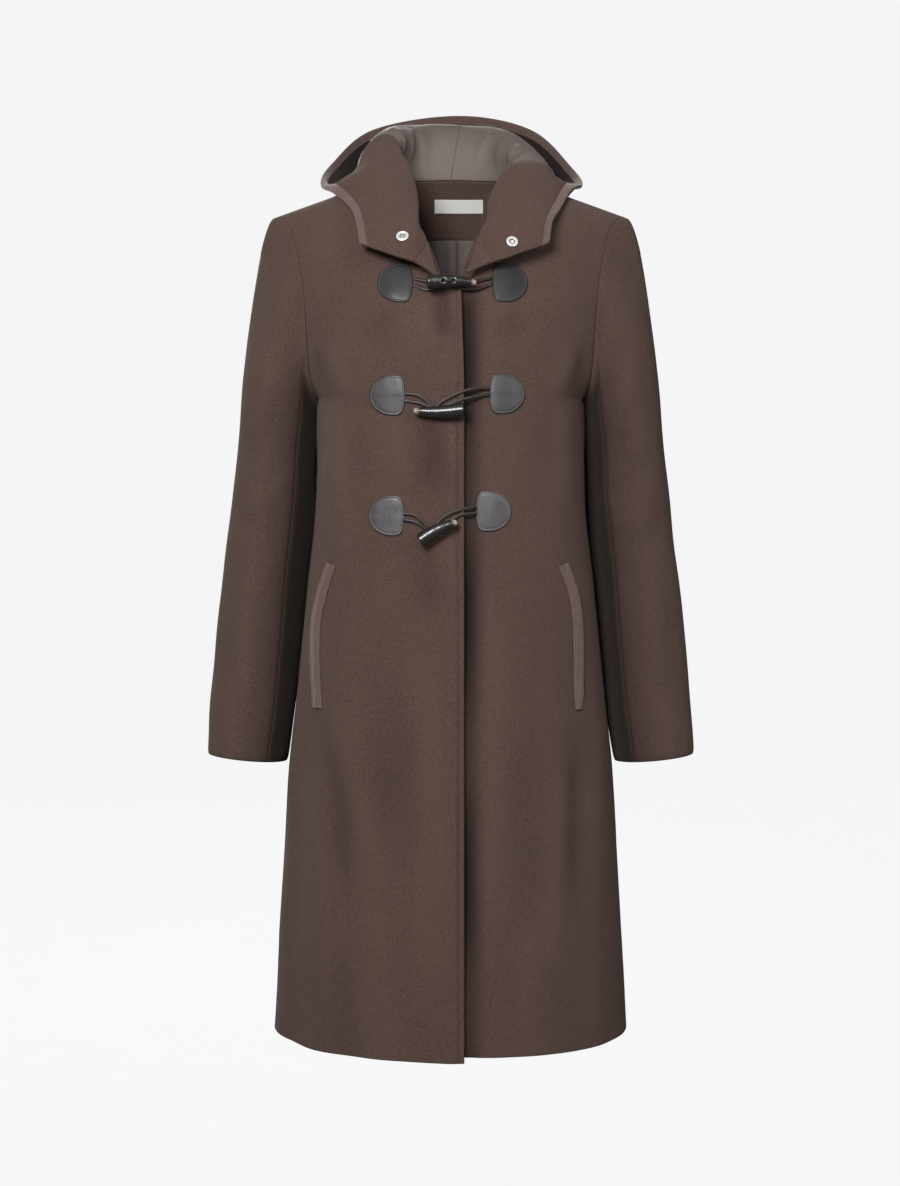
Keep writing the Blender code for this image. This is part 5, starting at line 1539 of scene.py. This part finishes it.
class Recipe:
    """A material being mixed: its nodes, its shader and short ways to add patterns."""

    def __init__(self, name, roughness, metallic=0.0, specular=0.5):
        self.made = bpy.data.materials.new(name)
        self.made.use_nodes = True
        self.tree = self.made.node_tree
        self.shader = self.tree.nodes["Principled BSDF"]
        self.shader.inputs["Roughness"].default_value = roughness
        self.shader.inputs["Metallic"].default_value = metallic
        self.shader.inputs["Specular IOR Level"].default_value = specular
        self.place = self.tree.nodes.new("ShaderNodeTexCoord")

    def fill(self, socket, value):
        """Sets a socket to a value or links it to another socket."""
        if isinstance(value, bpy.types.NodeSocket):
            self.tree.links.new(value, socket)
        else:
            socket.default_value = value

    def node(self, kind, **inputs):
        node = self.tree.nodes.new(kind)
        for label, value in inputs.items():
            self.fill(node.inputs[label.replace("_", " ")], value)
        return node

    def spots(self, scale=(1, 1, 1), lie=False):
        """Places on the piece: in space, or with lie on its flat cloth."""
        place = self.place.outputs["UV" if lie else "Object"]
        return self.node("ShaderNodeMapping", Scale=scale, Vector=place).outputs["Vector"]

    def noise(self, fineness, detail=2.0, rough=0.5, **where):
        node = self.node(
            "ShaderNodeTexNoise", Scale=fineness, Detail=detail, Roughness=rough, Vector=self.spots(**where)
        )
        return node.outputs["Fac"]

    def remap(self, value, low, high, to_low=0.0, to_high=1.0):
        node = self.node(
            "ShaderNodeMapRange", Value=value, From_Min=low, From_Max=high, To_Min=to_low, To_Max=to_high
        )
        return node.outputs["Result"]

    def mix(self, share, one, other):
        node = self.tree.nodes.new("ShaderNodeMix")
        node.data_type = "RGBA"
        self.fill(node.inputs[0], share)
        for socket, value in ((node.inputs[6], one), (node.inputs[7], other)):
            self.fill(socket, value if isinstance(value, bpy.types.NodeSocket) else (*value[:3], 1))
        return node.outputs[2]

    def add(self, one, other, weight=1.0):
        scaled = self.node("ShaderNodeMath")
        scaled.operation = "MULTIPLY_ADD"
        for socket, value in zip(scaled.inputs, (other, weight, one)):
            self.fill(socket, value)
        return scaled.outputs[0]

    def fold(self, low, high):
        """The piece's painted shade and painted light, from low to high, as 0 to 1."""
        node = self.node("ShaderNodeAttribute")
        node.attribute_name = "fold_shade"
        return self.remap(node.outputs["Fac"], low, high)

    def with_painted_light(self, tone, colour):
        """The tone with painted shade where the piece's attribute is below 0 and painted light where it is
        above.
        """
        tone = self.mix(self.fold(0.0, 1.0), tone, shade(colour, 1.5))
        return self.mix(self.fold(0.0, -1.0), tone, shade(colour, 0.10))

    def colour(self, value):
        self.fill(self.shader.inputs["Base Color"], value)

    def roughness(self, value):
        self.fill(self.shader.inputs["Roughness"], value)

    def bump(self, height, distance):
        node = self.node("ShaderNodeBump", Strength=1.0, Distance=distance, Height=height)
        self.fill(self.shader.inputs["Normal"], node.outputs["Normal"])

    def sheen(self, weight, roughness, tint):
        self.shader.inputs["Sheen Weight"].default_value = weight
        self.shader.inputs["Sheen Roughness"].default_value = roughness
        self.shader.inputs["Sheen Tint"].default_value = (*tint, 1)

    def coat(self, weight, roughness):
        self.shader.inputs["Coat Weight"].default_value = weight
        self.shader.inputs["Coat Roughness"].default_value = roughness


def shade(colour, factor):
    """The colour made darker or lighter by a factor."""
    return tuple(min(part * factor, 1.0) for part in colour[:3])


def wool_melton(name, colour):
    """Milled wool: a short felted nap, slightly mottled, with a soft bloom."""
    made = Recipe(name, 0.92, specular=0.2)
    fibre = made.noise(1500, 3, 0.6)
    felt = made.noise(420, 3, 0.65)
    cloud = made.noise(38, 3, 0.55)
    tone = made.mix(made.remap(felt, 0.36, 0.64), shade(colour, 0.66), shade(colour, 1.36))
    tone = made.mix(made.remap(fibre, 0.3, 0.7), shade(colour, 0.62), tone)
    tone = made.mix(made.remap(cloud, 0.3, 0.7, 0.0, 0.35), tone, shade(colour, 0.86))
    # Colour with painted shade and painted light from the piece's attribute
    made.colour(made.with_painted_light(tone, colour))
    made.bump(made.add(fibre, felt, 0.8), bpy.context.scene.coat_sizes.nap_depth)
    made.sheen(0.10, 0.5, (1.0, 0.80, 0.70))
    return made.made


def suede_hide(name, colour):
    """Brushed suede: fine nap with lighter and darker strokes."""
    made = Recipe(name, 0.88, specular=0.2)
    nap = made.noise(1300, 3, 0.6)
    stroke = made.noise(170, 3, 0.6)
    tone = made.mix(made.remap(stroke, 0.32, 0.68), shade(colour, 0.78), shade(colour, 1.16))
    tone = made.mix(made.remap(nap, 0.3, 0.7), shade(colour, 0.80), tone)
    # Colour with painted shade and painted light from the piece's attribute
    made.colour(made.with_painted_light(tone, colour))
    made.bump(made.add(nap, stroke, 1.2), 0.0005)
    made.sheen(0.35, 0.5, (1.0, 0.90, 0.84))
    return made.made


def satin_twill(name, colour):
    """Lining satin: fine diagonal twill with a soft, broken shine."""
    made = Recipe(name, 0.55, specular=0.2)
    twill = made.node(
        "ShaderNodeTexWave", Scale=1400.0, Distortion=0.6, Detail=1.0, Vector=made.spots(lie=True)
    )
    twill.bands_direction = "DIAGONAL"
    yarn = made.noise(900, 2, 0.5, scale=(1.0, 0.25, 0.25))
    cloud = made.noise(26, 2, 0.5)
    tone = made.mix(made.remap(cloud, 0.3, 0.7), shade(colour, 0.90), shade(colour, 1.10))
    tone = made.mix(made.remap(yarn, 0.25, 0.75, 0.0, 0.5), tone, shade(colour, 0.82))
    # Colour with painted shade and painted light from the piece's attribute
    made.colour(made.with_painted_light(tone, colour))
    made.roughness(made.remap(cloud, 0.3, 0.7, 0.50, 0.62))
    made.bump(made.add(yarn, twill.outputs["Fac"], 0.6), 0.00006)
    made.sheen(0.03, 0.3, (1.0, 0.94, 0.90))
    return made.made


def glazed_leather(name, colour, grain=1.0, gloss=0.5):
    """Dark leather with a fine grain. Where the piece's painted shade attribute is below 0 it is duller and
    darker by painted shade; above 0 it is lighter by painted light.
    """
    made = Recipe(name, 0.36, specular=gloss)
    pores = made.node("ShaderNodeTexVoronoi", Scale=1700.0, Vector=made.spots())
    pores.feature = "DISTANCE_TO_EDGE"
    cell = made.remap(pores.outputs["Distance"], 0.0, 0.25)
    cloud = made.noise(90, 3, 0.6)
    tone = made.mix(made.remap(cloud, 0.3, 0.7), shade(colour, 0.65), shade(colour, 1.4))
    tone = made.mix(made.remap(cell, 0.0, 0.5, 0.0, 1.0), shade(colour, 0.7), tone)
    made.colour(made.with_painted_light(tone, colour))
    made.roughness(made.add(made.remap(cloud, 0.3, 0.7, 0.28, 0.46), made.fold(0.0, -1.0), 0.3))
    made.bump(made.add(cell, cloud, 0.15), 0.00004 * grain)
    made.coat(0.3 * gloss, 0.25)
    return made.made


def polished_horn(name, colour):
    """Horn: dark and streaked along its length, and pale at its tip."""
    made = Recipe(name, 0.2, specular=0.5)
    streak = made.noise(60, 4, 0.6, scale=(2.5, 9.0, 1.0), lie=True)
    fine = made.noise(700, 2, 0.5, scale=(0.2, 1.0, 1.0))
    tone = made.mix(made.remap(streak, 0.35, 0.65), shade(colour, 0.6), shade(colour, 1.9))
    split = made.node("ShaderNodeSeparateXYZ", Vector=made.place.outputs["UV"])
    to_tip = made.remap(made.add(split.outputs["Y"], streak, 0.10), 0.93, 1.03)
    made.colour(made.mix(to_tip, tone, bpy.context.scene.coat_colours.horn_tip))
    made.roughness(made.remap(fine, 0.3, 0.7, 0.18, 0.30))
    made.coat(0.4, 0.12)
    made.bump(streak, 0.0001)
    return made.made


def nickel_plate(name, colour):
    """Soft nickel with slight wear."""
    made = Recipe(name, 0.34, metallic=0.45)
    wear = made.noise(240, 3, 0.6)
    tone = made.mix(made.remap(wear, 0.3, 0.7), shade(colour, 0.88), shade(colour, 1.04))
    # Colour with painted shade and painted light from the piece's attribute
    made.colour(made.with_painted_light(tone, colour))
    made.roughness(made.remap(wear, 0.3, 0.7, 0.26, 0.42))
    made.bump(wear, 0.00003)
    return made.made


def woven_tape(name, colour):
    """A bare label of close white weave."""
    made = Recipe(name, 0.7, specular=0.3)
    weft, warp = (
        made.node("ShaderNodeTexWave", Scale=scale, Distortion=0.3, Vector=made.spots(lie=True))
        for scale in (520.0, 300.0)
    )
    weft.bands_direction = "Y"
    weave = made.add(weft.outputs["Fac"], warp.outputs["Fac"], 0.7)
    cover = made.remap(made.add(weave, made.noise(500, 2, 0.5), 0.5), 0.2, 1.8)
    made.colour(made.mix(cover, shade(colour, 0.84), colour))
    made.bump(weave, 0.00012)
    return made.made


def sewing_thread(name, colour):
    """Twisted thread."""
    made = Recipe(name, 0.6, specular=0.35)
    twist = made.noise(2200, 2, 0.5)
    made.colour(made.mix(made.remap(twist, 0.3, 0.7), shade(colour, 0.75), shade(colour, 1.2)))
    made.bump(twist, 0.0001)
    return made.made


FINISHES = {
    # name of the material, its recipe, its colour, what else the recipe is given
    "wool": ("brown_wool_melton", wool_melton, "wool"),
    "suede": ("suede_trim", suede_hide, "suede"),
    "satin": ("taupe_satin_lining", satin_twill, "satin"),
    "leather": ("patch_leather", glazed_leather, "leather"),
    "strap": ("toggle_strap_leather", glazed_leather, "strap", 0.6, 0.22),
    "horn": ("toggle_horn", polished_horn, "horn"),
    "nickel": ("snap_nickel", nickel_plate, "nickel"),
    "woven": ("bare_woven_label", woven_tape, "label"),
    "thread": ("wool_thread", sewing_thread, "thread"),
    "suede_thread": ("trim_thread", sewing_thread, "suede_thread"),
    "leather_thread": ("patch_thread", sewing_thread, "leather_thread"),
    "pale_thread": ("label_thread", sewing_thread, "label"),
}


def studio_paper(name, colour, glow):
    """The seamless pale ground."""
    made = Recipe(name, 0.95, specular=0.0)
    grain = made.noise(9, 2, 0.5)
    made.colour(made.mix(made.remap(grain, 0.3, 0.7), shade(colour, 0.035), shade(colour, 0.04)))
    made.shader.inputs["Emission Color"].default_value = (1, 1, 1, 1)
    made.shader.inputs["Emission Strength"].default_value = glow
    return made.made


def finish_of(name):
    """The named finish, mixed once."""
    full, recipe, colour, *more = FINISHES[name]
    found = bpy.data.materials.get(full)
    return found or recipe(full, getattr(bpy.context.scene.coat_colours, colour), *more)


def make_camera():
    """A camera straight in front, that frames the coat with a little room round it."""
    lens = bpy.data.cameras.new("studio_camera")
    lens.sensor_fit = "VERTICAL"
    lens.sensor_height = SENSOR_HEIGHT
    lens.lens = SENSOR_HEIGHT * CAMERA_DISTANCE / VIEW_HEIGHT
    camera = link_object("studio_camera", lens)
    camera.location = (CAMERA_X, -CAMERA_DISTANCE, CAMERA_Z)
    camera.rotation_euler = (math.pi / 2 - math.atan(LOOK_DOWN / CAMERA_DISTANCE), 0, 0)
    bpy.context.scene.camera = camera


def make_ground():
    """A pale floor that curves up softly all round."""
    studio = bpy.context.scene.coat_studio
    profile = [(0.5, 0.0), (1.0, 0.0), (1.6, 0.0), (FLAT_RADIUS, 0.0)]
    for angle in np.linspace(0, math.pi / 2, 17)[1:]:
        profile.append((FLAT_RADIUS + COVE * math.sin(angle), COVE * (1 - math.cos(angle))))
    profile += [(6.0, 4.6), (6.0, 5.6)]
    turn = np.linspace(0, 2 * math.pi, 96, endpoint=False)
    points = [(0.0, 0.0, studio.floor_height)]
    for radius, height in profile:
        points += [(radius * math.cos(a), radius * math.sin(a), height + studio.floor_height) for a in turn]
    index = 1 + np.arange(len(profile) * len(turn)).reshape(len(profile), len(turn))
    ahead = np.roll(index, -1, axis=1)
    faces = [(0, one, two) for one, two in zip(index[0].tolist(), ahead[0].tolist())]
    faces += np.stack([index[:-1], index[1:], ahead[1:], ahead[:-1]], axis=-1).reshape(-1, 4).tolist()
    mesh = bpy.data.meshes.new("seamless_ground")
    mesh.from_pydata(points, [], faces)
    mesh.update()
    mesh.shade_smooth()
    mesh.materials.append(studio_paper("studio_paper", studio.floor_colour, studio.floor_glow))
    ground = link_object("seamless_ground", mesh)
    ground.visible_diffuse = False
    ground.visible_glossy = False


def area_light(name, place, target, size, power):
    """A square softbox at a place, turned to a target."""
    light = bpy.data.lights.new(name, "AREA")
    light.shape = "RECTANGLE"
    light.size = size
    light.size_y = size
    light.energy = power
    lamp = link_object(name, light)
    lamp.location = place
    lamp.rotation_euler = (Vector(target) - Vector(place)).to_track_quat("-Z", "Y").to_euler()


def make_light():
    studio = bpy.context.scene.coat_studio
    area_light("key_softbox", (-0.65, -2.35, 0.7), (0, 0, -0.35), 0.9, studio.key_power)
    area_light("fill_softbox", (1.9, -2.2, 0.4), (0, 0, -0.35), 1.4, studio.fill_power)
    area_light("top_softbox", (-0.3, -1.4, 1.7), (0, 0, -0.2), 1.2, studio.top_power)
    area_light("back_softbox", (-0.6, 2.8, 0.9), (0, 0, -0.4), 1.6, studio.back_power)
    world = bpy.data.worlds.new("studio_air")
    bpy.context.scene.world = world
    world.use_nodes = True
    sky = world.node_tree.nodes["Background"]
    sky.inputs["Color"].default_value = (1, 1, 1, 1)
    sky.inputs["Strength"].default_value = studio.air_strength
    bpy.context.scene.view_settings.view_transform = "Standard"
    bpy.context.scene.view_settings.look = "None"


def colour_property(name, description, value):
    return FloatVectorProperty(
        name=name, description=description, subtype="COLOR", size=3, min=0.0, max=1.0, default=value
    )


class CoatSizes(bpy.types.PropertyGroup):
    """Sizes of the coat's cloth and sewing."""

    cloth_cell: FloatProperty(
        name="Cloth Cell", description="Size of the cloth's mesh squares", default=0.0046, unit="LENGTH"
    )
    crease_depth: FloatProperty(
        name="Crease Depth", description="Depth of the soft creases against their usual depth", default=1.5,
        subtype="FACTOR", min=0.0, max=2.0,
    )
    nap_depth: FloatProperty(
        name="Nap Depth", description="Relief of the wool's nap", default=0.0008, unit="LENGTH", precision=5
    )
    stitch_pitch: FloatProperty(
        name="Stitch Pitch", description="Distance from stitch to stitch", default=0.0034, unit="LENGTH",
        precision=5,
    )
    thread_width: FloatProperty(
        name="Thread Width", description="Thickness of the sewing thread", default=0.00075, unit="LENGTH",
        precision=5,
    )


class CoatColours(bpy.types.PropertyGroup):
    """Colours of the coat's cloths and trims."""

    wool: colour_property("Wool", "Colour of the wool shell", (0.094, 0.056, 0.046))
    suede: colour_property("Suede", "Colour of binding and welts", (0.128, 0.078, 0.068))
    satin: colour_property("Satin", "Colour of the lining", (0.138, 0.112, 0.099))
    leather: colour_property("Patch Leather", "Colour of the toggle patches", (0.040, 0.036, 0.037))
    strap: colour_property("Strap Leather", "Colour of toggle cords and loops", (0.024, 0.018, 0.015))
    horn: colour_property("Horn", "Colour of the toggles", (0.011, 0.009, 0.009))
    horn_tip: colour_property("Horn Tip", "Colour of the toggles' tips", (0.42, 0.34, 0.28))
    nickel: colour_property("Nickel", "Colour of the press stud", (0.86, 0.85, 0.83))
    label: colour_property("Label", "Colour of the bare neck label", (0.70, 0.69, 0.66))
    thread: colour_property("Wool Thread", "Colour of the topstitching", (0.120, 0.080, 0.068))
    suede_thread: colour_property(
        "Trim Thread", "Colour of the stitching on binding and welts", (0.165, 0.110, 0.098)
    )
    leather_thread: colour_property(
        "Patch Thread", "Colour of the stitching on the patches", (0.085, 0.076, 0.076)
    )


class CoatStudio(bpy.types.PropertyGroup):
    """The plain studio round the coat."""

    floor_height: FloatProperty(
        name="Floor Height", description="Height of the floor below the side neck", default=-1.32,
        unit="LENGTH",
    )
    floor_colour: colour_property("Floor", "Colour of the ground", (0.86, 0.86, 0.86))
    floor_glow: FloatProperty(
        name="Floor Glow", description="Light given by the ground itself", default=0.902
    )
    key_power: FloatProperty(
        name="Key Light", description="Power of the main softbox", default=76.0, unit="POWER"
    )
    fill_power: FloatProperty(
        name="Fill Light", description="Power of the side softbox", default=26.0, unit="POWER"
    )
    top_power: FloatProperty(
        name="Top Light", description="Power of the softbox above", default=3.0, unit="POWER"
    )
    back_power: FloatProperty(
        name="Back Light", description="Power of the softbox behind", default=80.0, unit="POWER"
    )
    air_strength: FloatProperty(name="Air", description="Strength of the even light all round", default=0.16)


class COAT_OT_body(bpy.types.Operator):
    """Make both fronts and the back"""

    bl_idname = "coat.body"
    bl_label = "Make Fronts and Back"

    def execute(self, context):
        make_fronts()
        make_back()
        return {"FINISHED"}


class COAT_OT_sleeves(bpy.types.Operator):
    """Make the two-piece sleeves"""

    bl_idname = "coat.sleeves"
    bl_label = "Make Sleeves"

    def execute(self, context):
        make_sleeves()
        return {"FINISHED"}


class COAT_OT_neck(bpy.types.Operator):
    """Make the back neck facing, the lining below it and the bare label"""

    bl_idname = "coat.neck"
    bl_label = "Make Neck Facing and Lining"

    def execute(self, context):
        make_neck_facing()
        make_back_lining()
        make_label()
        return {"FINISHED"}


class COAT_OT_hood(bpy.types.Operator):
    """Make the hood with its facing and lining, and the turned-back corners of the fronts"""

    bl_idname = "coat.hood"
    bl_label = "Make Hood"

    def execute(self, context):
        make_hood()
        make_front_facings()
        return {"FINISHED"}


class COAT_OT_trims(bpy.types.Operator):
    """Make the hood's binding and the pocket welts"""

    bl_idname = "coat.trims"
    bl_label = "Make Binding and Welts"

    def execute(self, context):
        make_binding()
        make_welts()
        return {"FINISHED"}


class COAT_OT_fastenings(bpy.types.Operator):
    """Make patches, cords, loops, toggles and the press stud"""

    bl_idname = "coat.fastenings"
    bl_label = "Make Fastenings"

    def execute(self, context):
        make_patches()
        make_strands()
        make_toggles()
        make_snaps()
        return {"FINISHED"}


class COAT_OT_studio(bpy.types.Operator):
    """Set up camera, ground and light"""

    bl_idname = "coat.studio"
    bl_label = "Set Up Studio"

    def execute(self, context):
        make_camera()
        make_ground()
        make_light()
        return {"FINISHED"}


class COAT_PT_panel(bpy.types.Panel):
    """Everything that makes the coat"""

    bl_label = "Duffle Coat"
    bl_idname = "COAT_PT_panel"
    bl_space_type = "VIEW_3D"
    bl_region_type = "UI"
    bl_category = "Coat"

    def draw(self, context):
        for group in (context.scene.coat_sizes, context.scene.coat_colours, context.scene.coat_studio):
            box = self.layout.box()
            for name in group.__annotations__:
                box.prop(group, name)
        for operator in OPERATORS:
            self.layout.operator(operator.bl_idname)


GROUPS = {"coat_sizes": CoatSizes, "coat_colours": CoatColours, "coat_studio": CoatStudio}
OPERATORS = (
    COAT_OT_studio, COAT_OT_body, COAT_OT_sleeves, COAT_OT_neck, COAT_OT_hood, COAT_OT_trims,
    COAT_OT_fastenings,
)


def register():
    for group in (*GROUPS.values(), *OPERATORS, COAT_PT_panel):
        bpy.utils.register_class(group)
    for name, group in GROUPS.items():
        setattr(bpy.types.Scene, name, PointerProperty(type=group))


def unregister():
    for name in GROUPS:
        delattr(bpy.types.Scene, name)
    for group in (COAT_PT_panel, *reversed(OPERATORS), *reversed(GROUPS.values())):
        bpy.utils.unregister_class(group)


def main():
    register()
    bpy.ops.coat.studio()
    bpy.ops.coat.body()
    bpy.ops.coat.sleeves()
    bpy.ops.coat.neck()
    bpy.ops.coat.hood()
    bpy.ops.coat.trims()
    bpy.ops.coat.fastenings()


if __name__ == "__main__":
    main()
